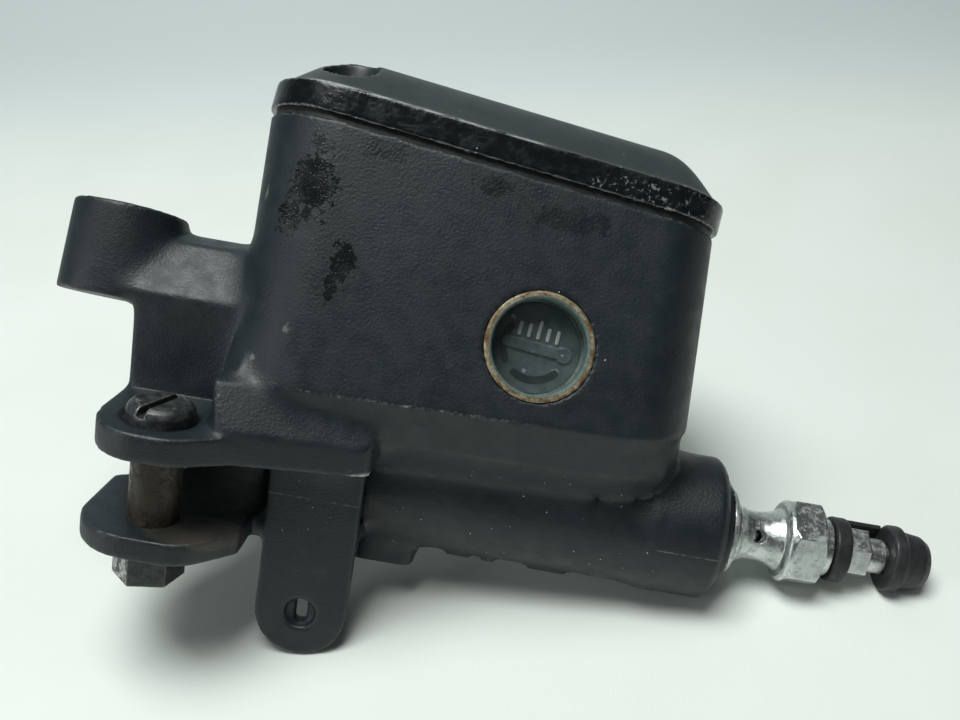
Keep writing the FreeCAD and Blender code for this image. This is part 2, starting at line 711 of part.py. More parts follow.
def reservoir_lid():
    """A side band, then a crown whose shoulder slopes in, with a deep recess for each screw."""
    bottom = "tank_rim + seal_thick"
    band = slab("lid_band_block", lid_corners("0"), bottom, "lid_band", lid_rounds("0"))
    band.Placement = turned(LEVEL)
    crown = new_body("lid_crown_block")
    sections = []
    for step, (run, climb) in enumerate(CROWN_SHOULDER):
        inset = "lid_step + %.2f * lid_shoulder" % run
        rise = "%s + lid_band + %.2f * lid_crown" % (bottom, climb)
        sketch = new_sketch(crown, "crown_%d" % step, "XY_Plane", rise)
        rounded_outline(sketch, lid_corners(inset), [size for x, y, size in lid_rounds(inset)])
        sections.append(sketch)
    loft = crown.newObject("PartDesign::AdditiveLoft", "CrownLoft")
    loft.Profile = sections[0]
    loft.Sections = sections[1:]
    loft.Ruled = False
    DOC.recompute()
    crown.Placement = turned(LEVEL)
    tools = []
    for number, (x, y) in enumerate(screw_spots()):
        tools.append(cylinder("lid_recess_%d" % number, "4.6", "14", turned(LEVEL, x, y, amount(bottom) + 4.8)))
        tools.append(cylinder("lid_hole_%d" % number, "screw_rad + 0.1", "30", turned(LEVEL, x, y, amount(bottom) - 5)))
    under = slab("lid_underside", [("-75", "-15"), ("-36", "-15"), ("-36", "12"), ("-75", "12")],
                 bottom + " - 1", "8", [])
    under.Placement = turned(LEVEL)
    return cut("reservoir_lid", fuse("lid_rough", [band, crown]), fuse("lid_tools", tools + [under]))


def lid_screws():
    """Two pan-head screws with cross slots."""
    seat = VALUE["tank_rim"] + VALUE["seal_thick"] + 4.8
    screws = []
    for number, (x, y) in enumerate(screw_spots()):
        name = "lid_screw_%d" % number
        body = turned_piece(name, [
            ("0", "-16.5"), ("screw_rad", "-16.5"), ("screw_rad", "0"), ("4", "0"), ("4", "1.6"), ("2.8", "2.6"),
            ("0", "2.6")], axis="V_Axis")
        recess = new_sketch(body, name + "_cross", "XY_Plane", "2.6")
        add_outline(recess, [
            ("-2", "-0.4"), ("-0.4", "-0.4"), ("-0.4", "-2"), ("0.4", "-2"), ("0.4", "-0.4"), ("2", "-0.4"),
            ("2", "0.4"), ("0.4", "0.4"), ("0.4", "2"), ("-0.4", "2"), ("-0.4", "0.4"), ("-2", "0.4")])
        pocket(body, recess, "1.4", "CrossRecess")
        body.Placement = turned(LEVEL, x, y, seat)
        screws.append(body)
    return compound("lid_screws", screws)


def compound(label, pieces):
    feature = DOC.addObject("Part::Compound", label)
    feature.Label = label
    feature.Links = pieces
    DOC.recompute()
    return feature


PAN = [
    ("-76", "-16.4"), ("-22", "-16.4"), ("-22", "2"), ("-35", "2"), ("-35", "13"), ("-86", "13"),
    ("-86", "-6"), ("-76", "-6")]


def diaphragm():
    """Rubber sheet clamped under the lid, with a pan that sinks as the fluid falls."""
    sheet = slab("diaphragm_sheet", lid_corners("lid_over + 0.6"), "tank_rim", "seal_thick",
                 lid_rounds("lid_over + 0.6"))
    pan = slab("diaphragm_pan", PAN, "tank_rim - 8", "8.5", [])
    hollow = slab("diaphragm_hollow", [
        ("-74.8", "-15.2"), ("-23.2", "-15.2"), ("-23.2", "0.8"), ("-36.2", "0.8"), ("-36.2", "11.8"),
        ("-84.8", "11.8"), ("-84.8", "-4.8"), ("-74.8", "-4.8")], "tank_rim - 6.8", "9", [])
    for piece in (sheet, pan, hollow):
        piece.Placement = turned(LEVEL)
    tools = [hollow]
    for number, (x, y) in enumerate(screw_spots()):
        tools.append(cylinder("seal_hole_%d" % number, "screw_rad + 0.1", "6", turned(LEVEL, x, y, VALUE["tank_rim"] - 2)))
    return cut("diaphragm", fuse("diaphragm_rough", [sheet, pan]), fuse("diaphragm_tools", tools))


def splash_plate():
    """A thin plate over the fluid ports that stops a jet when the piston returns."""
    body = slab("splash_plate", [("-50", "-5"), ("-24", "-5"), ("-24", "5"), ("-50", "5")], "tank_floor", "0.8", [])
    holes = new_sketch(body, "splash_holes", "XY_Plane", "tank_floor + 0.8")
    add_circle(holes, "-42", "0", "1")
    add_circle(holes, "-28.6", "0", "0.8")
    pocket(body, holes, "2", "SplashHoles")
    return body


def window_piece(label, profile):
    """A turned piece of the sight glass; heights are outward from the reservoir's front wall."""
    body = turned_piece(label, profile, axis="V_Axis")
    body.Placement = window_frame()
    return body


def sight_ring():
    return window_piece("sight_ring", [
        ("glass_lip", "-3.2"), ("glass_rad", "-3.2"), ("glass_rad", "0.1"), ("glass_rad - 0.3", "0.35"),
        ("glass_lip + 0.3", "0.35"), ("glass_lip", "0")])


def sight_lens():
    return window_piece("sight_lens", [
        ("0", "-4.6"), ("glass_rad - 0.1", "-4.6"), ("glass_rad - 0.1", "-3.2"), ("0", "-3.2")])


def sight_seal():
    return window_piece("sight_seal", [
        ("glass_rad - 1.3", "-6"), ("glass_rad", "-6"), ("glass_rad", "-4.6"), ("glass_rad - 1.3", "-4.6")])


def level_reflector():
    """A disc behind the lens with a raised bar that stands level with the lid."""
    disc = window_piece("reflector_disc", [
        ("0", "-6"), ("glass_rad - 1.4", "-6"), ("glass_rad - 1.4", "-5.3"), ("0", "-5.3")])
    bar = slab("reflector_bar", [("-5.6", "-0.9"), ("5.4", "-0.9"), ("5.4", "0.9"), ("-5.6", "0.9")], "-5.4", "0.6",
               [("-5.6", "-0.9", "0.8"), ("-5.6", "0.9", "0.8"), ("5.4", "-0.9", "0.8"), ("5.4", "0.9", "0.8")])
    spin_level = FreeCAD.Rotation(AXIS_Z, -VALUE["tilt"])
    bar.Placement = window_frame().multiply(FreeCAD.Placement(ORIGIN, spin_level))
    knob = cylinder("reflector_knob", "1.3", "0.6", window_frame().multiply(
        FreeCAD.Placement(spin_level.multVec(FreeCAD.Vector(4.9, 0, -5.4)), FreeCAD.Rotation())))
    return fuse("level_reflector", [disc, bar, knob])


# ---- piston and its parts -----------------------------------------------------------------

def piston():
    return turned_piece("piston", [
        ("-68", "0"), ("-68", "4"), ("-67.4", "4.9"), ("-56.9", "4.9"), ("-56.9", "piston_rad"), ("-54", "piston_rad"),
        ("-54", "5.2"), ("-51", "5.2"), ("-51", "piston_rad"), ("-48.5", "piston_rad"), ("-48.5", "4.5"),
        ("-36", "4.5"), ("-36", "piston_rad"), ("-33", "piston_rad"), ("-33", "3"), ("-29.2", "3"), ("-29.2", "0")])


def secondary_cup():
    return turned_piece("secondary_cup", [
        ("-53.9", "5.22"), ("-53.9", "piston_rad"), ("-53.1", "piston_rad"), ("-52.3", "6.3"), ("-51.1", "6.3"),
        ("-51.1", "5.22")])


def primary_cup():
    return turned_piece("primary_cup", [
        ("-32.98", "3.02"), ("-32.98", "6.3"), ("-31.6", "piston_rad"), ("-30.1", "piston_rad"), ("-30.6", "5.9"),
        ("-31.4", "5.4"), ("-31.4", "3.02")])


def spring_seat():
    return turned_piece("spring_seat", [
        ("-31.38", "3.02"), ("-31.38", "4.8"), ("-29.8", "4.8"), ("-29.8", "6.2"), ("-29.2", "6.2"), ("-29.2", "3.02")])


def return_spring():
    """A helix of round wire between the spring seat and the blind end of the bore."""
    wire = 0.55
    start = -29.2 + wire
    height = -VALUE["bore_end"] - wire - start
    turns = 5
    helix = DOC.addObject("Part::Helix", "spring_path")
    helix.Radius = 4.9
    helix.Height = height
    helix.Pitch = height / turns
    ring = DOC.addObject("Part::Circle", "spring_wire")
    ring.Radius = wire
    ring.Placement = FreeCAD.Placement(FreeCAD.Vector(4.9, 0, 0), FreeCAD.Rotation(AXIS_X, 90))
    DOC.recompute()
    sweep = DOC.addObject("Part::Sweep", "return_spring")
    sweep.Label = "return_spring"
    sweep.Sections = [ring]
    sweep.Spine = (helix, ["Edge1"])
    sweep.Solid = True
    sweep.Frenet = True
    DOC.recompute()
    sweep.Placement = FreeCAD.Placement(FreeCAD.Vector(start, 0, 0), FreeCAD.Rotation(AXIS_Y, 90))
    return sweep


def stop_washer():
    return turned_piece("stop_washer", [("-57.9", "5.3"), ("-57.9", "8.8"), ("-57", "8.8"), ("-57", "5.3")])


def circlip():
    """A wire ring, open at one side, sprung into a groove in the counterbore."""
    body = turned_piece("circlip", [("-59.2", "7.6"), ("-59.2", "9.6"), ("-58", "9.6"), ("-58", "7.6")])
    sketch = new_sketch(body, "circlip_gap", "YZ_Plane", "-57")
    add_outline(sketch, [("-2", "6"), ("2", "6"), ("2", "11"), ("-2", "11")])
    pocket(body, sketch, "4", "CirclipGap")
    return body


def dust_boot():
    """Rubber boot with two folds round the piston's outer end."""
    return turned_piece("dust_boot", [
        ("-59.3", "6.6"), ("-59.3", "8.9"), ("-61.5", "8.9"), ("-62.2", "8.2"), ("-63.1", "8.8"), ("-63.9", "7.6"),
        ("-64.8", "8.2"), ("-65.8", "6.4"), ("-66.6", "6.2"), ("-66.6", "5.2"), ("-65", "5.2"), ("-64.6", "6.8"),
        ("-63.6", "6.4"), ("-62.8", "7.4"), ("-62", "6.8"), ("-61", "7.2")])


# ---- lever pivot --------------------------------------------------------------------------

def pivot_place(height):
    return FreeCAD.Placement(FreeCAD.Vector(-VALUE["pivot_x"], -VALUE["pivot_y"], height), FreeCAD.Rotation())


def pivot_bolt():
    """Slotted head with a domed rim, plain shank and a thread end for the nut."""
    body = turned_piece("pivot_bolt", [
        ("0", "-fork_low - nut_tall - 0.8 - ear_top + 0.6"),
        ("pin_rad - 0.5", "-fork_low - nut_tall - 0.8 - ear_top + 0.6"),
        ("pin_rad", "-fork_low - nut_tall - 0.3 - ear_top + 0.6"),
        ("pin_rad", "0"),
        ("head_rad", "0"),
        ("head_rad", "head_tall - 1.3"),
        ("head_rad - 0.4", "head_tall - 0.5"),
        ("head_rad - 1.1", "head_tall"),
        ("0", "head_tall"),
    ], axis="V_Axis")
    sketch = new_sketch(body, "pivot_slot", "XY_Plane", "head_tall")
    add_outline(sketch, [
        ("-head_rad - 1", "-slot_wide / 2"), ("head_rad + 1", "-slot_wide / 2"),
        ("head_rad + 1", "slot_wide / 2"), ("-head_rad - 1", "slot_wide / 2")])
    pocket(body, sketch, "1.5", "DriverSlot")
    place = pivot_place(VALUE["ear_top"] - 0.6)
    place.Rotation = FreeCAD.Rotation(AXIS_Z, 72)
    body.Placement = place
    return body


def pivot_bush():
    bush = turned_piece("pivot_bush", [
        ("pin_rad + 0.04", "-fork_top"), ("bush_rad", "-fork_top"), ("bush_rad", "ear_low"),
        ("pin_rad + 0.04", "ear_low")], axis="V_Axis")
    bush.Placement = pivot_place(0)
    return bush


def pivot_nut():
    blank = prism("nut_blank", "nut_flats", "nut_tall", pivot_place(-VALUE["fork_low"] - VALUE["nut_tall"]))
    blank.Placement.Rotation = FreeCAD.Rotation(AXIS_Z, 15)
    hole = cylinder("nut_thread", "pin_rad + 0.02", "nut_tall + 2",
                    pivot_place(-VALUE["fork_low"] - VALUE["nut_tall"] - 1))
    return cut("pivot_nut", blank, hole)


# ---- hose port parts ----------------------------------------------------------------------

def crush_washer():
    return turned_piece("crush_washer", [
        ("seat_tall", "port_thread_rad + 0.2"), ("seat_tall", "7.3"), ("seat_tall + 0.3", "7.6"),
        ("seat_tall + washer_thick - 0.3", "7.6"), ("seat_tall + washer_thick", "7.3"),
        ("seat_tall + washer_thick", "port_thread_rad + 0.2")])


def banjo_bolt():
    """Hollow bolt with a waisted shank, a round collar, a hexagon and a neck for the bleed screw."""
    shaft = turned_piece("banjo_shaft", [
        ("-10", "1.6"), ("-10", "4.2"), ("-9.2", "5"), ("3.05", "5"), ("3.05", "5.9"), ("3.7", "5.8"),
        ("4.5", "5.2"), ("5.5", "4.7"), ("6.7", "4.45"), ("8.1", "4.4"), ("9.5", "4.6"), ("10.7", "5"),
        ("11.6", "5.45"), ("12", "5.5"), ("12", "6.6"), ("12.5", "7.2"), ("13.2", "7.4"), ("13.2", "6"),
        ("20.8", "6"), ("20.8", "3.7"), ("23.9", "3.7"), ("23.9", "2.72"), ("14", "2.72"), ("13", "1.6")])
    trim = turned_piece("banjo_trim", [("18.9", "5.1"), ("18.9", "9"), ("21.5", "9"), ("21.5", "5.1")])
    lean_shaft = cut("banjo_turned", shaft, trim)
    nut = prism("banjo_hex", "hex_flats", "5.7", FreeCAD.Placement(
        FreeCAD.Vector(13.2, 0, 0), FreeCAD.Rotation(AXIS_Y, 90)))
    bevel = turned_piece("banjo_bevel", [
        ("13.2", "0"), ("13.2", "7.4"), ("13.7", "8"), ("18.2", "8"), ("18.9", "6.9"), ("18.9", "0")])
    head = DOC.addObject("Part::Common", "banjo_head")
    head.Base = nut
    head.Tool = bevel
    along = FreeCAD.Placement(FreeCAD.Vector(12, 0, 0), FreeCAD.Rotation(AXIS_Y, 90))
    collar = cut("banjo_collar", head, cylinder("banjo_way", "2.72", "14", along))
    forward = FreeCAD.Placement(ORIGIN, FreeCAD.Rotation(AXIS_X, 68))
    across = forward.multiply(FreeCAD.Placement(FreeCAD.Vector(7.5, 0, -7), FreeCAD.Rotation()))
    cross = cylinder("banjo_cross", "1.2", "14", across)
    return cut("banjo_bolt", fuse("banjo_rough", [lean_shaft, collar]), cross)


def bleed_screw():
    """Cone-tipped bleed screw with a small hexagon and a nipple inside the cap."""
    stem = turned_piece("bleed_stem", [
        ("13.4", "0"), ("14.6", "2.1"), ("15.2", "2.65"), ("24.1", "2.65"), ("24.1", "3.6"), ("27.8", "3.6"),
        ("27.8", "3.1"), ("31", "3.1"), ("31", "2.4"), ("32.8", "2.4"), ("33.4", "3"), ("35.6", "2.3"),
        ("35.6", "1"), ("18", "1"), ("18", "0")])
    nut = prism("bleed_hex", "8", "3.6", FreeCAD.Placement(FreeCAD.Vector(24.1, 0, 0), FreeCAD.Rotation(AXIS_Y, 90)))
    hole = cylinder("bleed_way", "1", "20", FreeCAD.Placement(FreeCAD.Vector(18, 0, 0), FreeCAD.Rotation(AXIS_Y, 90)))
    return cut("bleed_screw", fuse("bleed_rough", [stem, nut]), hole)


def bleed_cap():
    """Rubber cap with a wide skirt, hollow for the nipple."""
    return turned_piece("bleed_cap", [
        ("31.4", "2.6"), ("31.4", "5.6"), ("31.8", "6"), ("33.5", "6"), ("33.9", "5.6"), ("34.3", "5.2"),
        ("37.4", "4.8"), ("38.6", "4"), ("39.2", "2.6"), ("39.2", "0"), ("36.4", "0"), ("36.4", "2.6"),
        ("35.8", "3.3"), ("33.2", "3.3"), ("32.6", "2.6")])


def cap_tether():
    """Rubber ring on the bolt's neck with a strap over the small hexagon to the cap."""
    ring = turned_piece("tether_ring", [
        ("21", "3.72"), ("21", "5.5"), ("21.3", "5.8"), ("23.6", "5.8"), ("23.9", "5.5"), ("23.9", "3.72")])
    strap = box("tether_strap", "8.6", "4", "0.9", FreeCAD.Placement(
        FreeCAD.Vector(22.6, 0, 0), FreeCAD.Rotation(AXIS_X, -60)).multiply(
        FreeCAD.Placement(FreeCAD.Vector(0, -2, 4.75), FreeCAD.Rotation())))
    return fuse("cap_tether", [ring, strap])


# ---- handlebar clamp ----------------------------------------------------------------------

def clamp_cap():
    bar = clamp_frame().multiply(FreeCAD.Placement(FreeCAD.Vector(-5, 0, 0), FreeCAD.Rotation(AXIS_Y, 90)))
    tools = [cylinder("cap_bar_space", "bar_rad", "40", bar)]
    for number, way in enumerate((-1, 1)):
        tools.append(cylinder("cap_hole_%d" % number, "pin_rad + 0.3", "30", clamp_bolt_frame(way, -1.0)))
        tools.append(cylinder("cap_spot_%d" % number, "5.6", "16", clamp_bolt_frame(way, 8.3)))
    return cut("clamp_cap", fuse("clamp_cap_rough", clamp_half("clamp_cap_block", 1)), fuse("clamp_cap_tools", tools))


def clamp_bolts():
    """Two socket-head bolts."""
    bolts = []
    for number, way in enumerate((-1, 1)):
        name = "clamp_bolt_%d" % number
        body = turned_piece(name, [
            ("0", "-20.5"), ("pin_rad", "-20.5"), ("pin_rad", "0"), ("5", "0"), ("5", "5.5"), ("4.5", "6"), ("0", "6")],
            axis="V_Axis")
        socket = new_sketch(body, name + "_socket", "XY_Plane", "6")
        corners = []
        for step in range(6):
            angle = math.radians(60 * step)
            corners.append(("%.3f" % (2.89 * math.cos(angle)), "%.3f" % (2.89 * math.sin(angle))))
        add_outline(socket, corners)
        pocket(body, socket, "3", "Socket")
        body.Placement = clamp_bolt_frame(way, 8.3)
        bolts.append(body)
    return compound("clamp_bolts", bolts)


# ---- build, check and write ---------------------------------------------------------------

NODES = [
    body_casting, reservoir_lid, lid_screws, diaphragm, splash_plate, sight_ring, sight_lens, sight_seal,
    level_reflector, piston, secondary_cup, primary_cup, spring_seat, return_spring, stop_washer, circlip,
    dust_boot, pivot_bolt, pivot_bush, pivot_nut, crush_washer, banjo_bolt, bleed_screw, bleed_cap, cap_tether,
    clamp_cap, clamp_bolts,
]


def main():
    pieces = [make() for make in NODES]
    DOC.recompute()
    faults = [thing.Name for thing in DOC.Objects if {"Invalid", "Error"} & set(thing.State)]
    if faults:
        raise RuntimeError("failed objects: " + ", ".join(faults))
    os.makedirs("parts", exist_ok=True)
    for piece in pieces:
        shape = piece.Shape
        if shape.isNull() or not shape.isValid() or not shape.Solids:
            raise RuntimeError("bad shape: " + piece.Label)
        span = shape.BoundBox
        print("%-16s solids %d  volume %9.1f  x %7.1f %6.1f  y %6.1f %6.1f  z %6.1f %6.1f" % (
            piece.Label, len(shape.Solids), shape.Volume, span.XMin, span.XMax, span.YMin, span.YMax,
            span.ZMin, span.ZMax))
        shape.exportStep("parts/" + piece.Label + ".step")


main()
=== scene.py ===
import math

import bmesh
import bpy
import numpy as np
from mathutils import Euler, Matrix, Vector
from mathutils.bvhtree import BVHTree


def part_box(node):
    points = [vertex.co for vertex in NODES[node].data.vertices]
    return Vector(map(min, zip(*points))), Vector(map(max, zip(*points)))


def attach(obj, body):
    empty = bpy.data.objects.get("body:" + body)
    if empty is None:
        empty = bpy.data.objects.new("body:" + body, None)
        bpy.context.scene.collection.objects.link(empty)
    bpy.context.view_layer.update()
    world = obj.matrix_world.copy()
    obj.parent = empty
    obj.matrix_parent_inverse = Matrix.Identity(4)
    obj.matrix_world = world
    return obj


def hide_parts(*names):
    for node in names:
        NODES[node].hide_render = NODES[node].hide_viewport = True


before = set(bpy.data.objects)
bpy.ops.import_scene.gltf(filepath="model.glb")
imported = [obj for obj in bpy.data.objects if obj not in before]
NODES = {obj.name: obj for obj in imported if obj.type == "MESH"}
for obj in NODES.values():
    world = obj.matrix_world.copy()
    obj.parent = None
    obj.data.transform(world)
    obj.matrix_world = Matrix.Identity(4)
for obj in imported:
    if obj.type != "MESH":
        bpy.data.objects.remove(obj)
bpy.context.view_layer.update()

# Motorcycle brake master cylinder: the looks around the fixed CAD frame, in metres.

MM = 0.001

# The reservoir leans back about X and is turned about Z, as the casting is.
# The lid also slopes along X.
TANK_LEAN = math.radians(-18)
TANK_YAW = math.radians(5)
LID_SLOPE = math.radians(7)
TANK_TURN = Euler((TANK_LEAN, 0, TANK_YAW))
TANK_FRONT = -21.2
GLASS_X = -39.0
GLASS_Z = 26.8

# The surface that the part rests on: its upright, and its distance from the frame's origin.
FLOOR_UP = Vector((-0.176, -0.322, 0.930)).normalized()
FLOOR_HEIGHT = -10.95 * MM


def tank_point(x, y, z):
    """A point given in millimetres in the reservoir's own leaning frame, in metres in the frame."""
    return TANK_TURN.to_matrix() @ Vector((x, y, z)) * MM


# ---- camera -------------------------------------------------------------------------------

CAMERA_PLACE = Vector((-46.8, -168.6, 72.2)) * MM
CAMERA_PITCH = math.radians(74)
CAMERA_ROLL = math.radians(9.8)
LENS = 37.5


def add_camera():
    camera = bpy.data.objects.new("camera", bpy.data.cameras.new("camera"))
    bpy.context.scene.collection.objects.link(camera)
    camera.data.lens = LENS
    camera.data.sensor_width = 36
    camera.data.clip_start = 0.01
    turn = Euler((CAMERA_PITCH, 0, 0)).to_matrix() @ Matrix.Rotation(CAMERA_ROLL, 3, "Z")
    camera.matrix_world = Matrix.LocRotScale(CAMERA_PLACE, turn, None)
    bpy.context.scene.camera = camera


# ---- material helpers ---------------------------------------------------------------------

def new_material(name):
    material = bpy.data.materials.new(name)
    material.use_nodes = True
    tree = material.node_tree
    return material, tree, tree.nodes["Principled BSDF"]


def feed(tree, socket, value):
    """Sets an input, or links it when the value is another node's output."""
    if isinstance(value, bpy.types.NodeSocket):
        tree.links.new(value, socket)
    elif isinstance(value, tuple) and len(value) == 3 and socket.type == "RGBA":
        socket.default_value = (*value, 1)
    else:
        socket.default_value = value


def coordinates(tree):
    """The piece's own coordinates in millimetres."""
    source = tree.nodes.new("ShaderNodeTexCoord")
    scale = tree.nodes.new("ShaderNodeVectorMath")
    scale.operation = "SCALE"
    scale.inputs["Scale"].default_value = 1000
    tree.links.new(source.outputs["Object"], scale.inputs[0])
    return scale.outputs[0]


def stretched(tree, vector, factors, turn=(0, 0, 0)):
    node = tree.nodes.new("ShaderNodeMapping")
    node.inputs["Rotation"].default_value = turn
    node.inputs["Scale"].default_value = factors
    tree.links.new(vector, node.inputs["Vector"])
    return node.outputs[0]


def noise(tree, vector, size, detail=3.0, roughness=0.5, distortion=0.0):
    """Smooth noise whose features are about size millimetres across."""
    node = tree.nodes.new("ShaderNodeTexNoise")
    tree.links.new(vector, node.inputs["Vector"])
    node.inputs["Scale"].default_value = 1 / size
    node.inputs["Detail"].default_value = detail
    node.inputs["Roughness"].default_value = roughness
    node.inputs["Distortion"].default_value = distortion
    return node.outputs["Fac"]


def cells(tree, vector, size, feature="F1", output="Distance"):
    node = tree.nodes.new("ShaderNodeTexVoronoi")
    node.feature = feature
    tree.links.new(vector, node.inputs["Vector"])
    node.inputs["Scale"].default_value = 1 / size
    return node.outputs[output]


def blend_range(tree, value, low, high, start=0.0, end=1.0):
    """Maps low..high to start..end with soft ends, clamped."""
    node = tree.nodes.new("ShaderNodeMapRange")
    node.interpolation_type = "SMOOTHSTEP"
    feed(tree, node.inputs["Value"], value)
    node.inputs["From Min"].default_value = low
    node.inputs["From Max"].default_value = high
    node.inputs["To Min"].default_value = start
    node.inputs["To Max"].default_value = end
    return node.outputs["Result"]


def combine(tree, operation, first, second):
    node = tree.nodes.new("ShaderNodeMath")
    node.operation = operation
    feed(tree, node.inputs[0], first)
    feed(tree, node.inputs[1], second)
    return node.outputs[0]


def times(tree, first, second):
    return combine(tree, "MULTIPLY", first, second)


def mixed(tree, share, first, second):
    node = tree.nodes.new("ShaderNodeMix")
    node.data_type = "RGBA"
    feed(tree, node.inputs[0], share)
    feed(tree, node.inputs[6], first)
    feed(tree, node.inputs[7], second)
    return node.outputs[2]


def laid_over(tree, base, mask, strength, colour):
    """A colour laid over the base where the mask is 1, at most to the given strength."""
    return mixed(tree, times(tree, mask, strength), base, colour)


def blob(tree, centre, radii, ragged, grain=2.5):
    """1 inside a soft ragged ellipsoid set in the reservoir's frame, 0 outside; millimetres."""
    source = tree.nodes.new("ShaderNodeTexCoord")
    place = tree.nodes.new("ShaderNodeMapping")
    place.vector_type = "TEXTURE"
    tree.links.new(source.outputs["Object"], place.inputs["Vector"])
    place.inputs["Location"].default_value = tank_point(*centre)
    place.inputs["Rotation"].default_value = TANK_TURN
    place.inputs["Scale"].default_value = [radius * MM for radius in radii]
    length = tree.nodes.new("ShaderNodeVectorMath")
    length.operation = "LENGTH"
    tree.links.new(place.outputs[0], length.inputs[0])
    edge = combine(tree, "SUBTRACT", noise(tree, coordinates(tree), grain, 4, 0.65), 0.5)
    shift = times(tree, edge, ragged * 4)
    reach = combine(tree, "ADD", length.outputs["Value"], shift)
    return blend_range(tree, reach, 0.85, 1.1, 1, 0)


def largest(tree, masks):
    result = masks[0]
    for mask in masks[1:]:
        result = combine(tree, "MAXIMUM", result, mask)
    return result


def edges(tree, low, high):
    """1 on the piece's outer edges, from the mesh's own shape."""
    node = tree.nodes.new("ShaderNodeNewGeometry")
    return blend_range(tree, node.outputs["Pointiness"], low, high)


def bump(tree, shader, height, depth, under=None):
    """Relief of so many millimetres, on top of another relief where one is given."""
    node = tree.nodes.new("ShaderNodeBump")
    node.inputs["Strength"].default_value = 1.0
    node.inputs["Distance"].default_value = depth * MM
    tree.links.new(height, node.inputs["Height"])
    if under is not None:
        tree.links.new(under, node.inputs["Normal"])
    tree.links.new(node.outputs[0], shader.inputs["Normal"])
    return node.outputs[0]


def specks(tree, vector, size, dot, share):
    """Small round dots, one in some of the cells of a loose grid."""
    distance = cells(tree, vector, size)
    colour = cells(tree, vector, size, output="Color")
    pick = tree.nodes.new("ShaderNodeSeparateColor")
    tree.links.new(colour, pick.inputs[0])
    chosen = combine(tree, "LESS_THAN", pick.outputs[0], share)
    spot = blend_range(tree, distance, dot * 0.6, dot, 1, 0)
    return times(tree, chosen, spot)


# ---- materials ----------------------------------------------------------------------------

# Height of the mould's parting line above the bore axis.
PARTING_HEIGHT = -0.35

# Centre and radii of each oily patch in the reservoir's frame, and how dark it is.
WET_STAINS = [
    ((-78.0, TANK_FRONT, 46.8), (3.8, 4, 4.8), 0.85),
    ((-81.2, TANK_FRONT, 41.2), (2.2, 4, 3.6), 0.85),
    ((-77.4, TANK_FRONT, 53.4), (1.6, 4, 1.8), 0.5),
    ((-71.6, TANK_FRONT, 35.4), (1.7, 4, 3.2), 0.7),
    ((-73.0, TANK_FRONT, 30.6), (1.0, 4, 2.2), 0.7),
    ((-67.6, TANK_FRONT, 54.2), (4.0, 4, 1.8), 0.4),
    ((-49.6, TANK_FRONT, 51.2), (3.0, 4, 1.8), 0.45),
    ((-36.5, TANK_FRONT, 47.6), (6.5, 4, 2.0), 0.35),
]


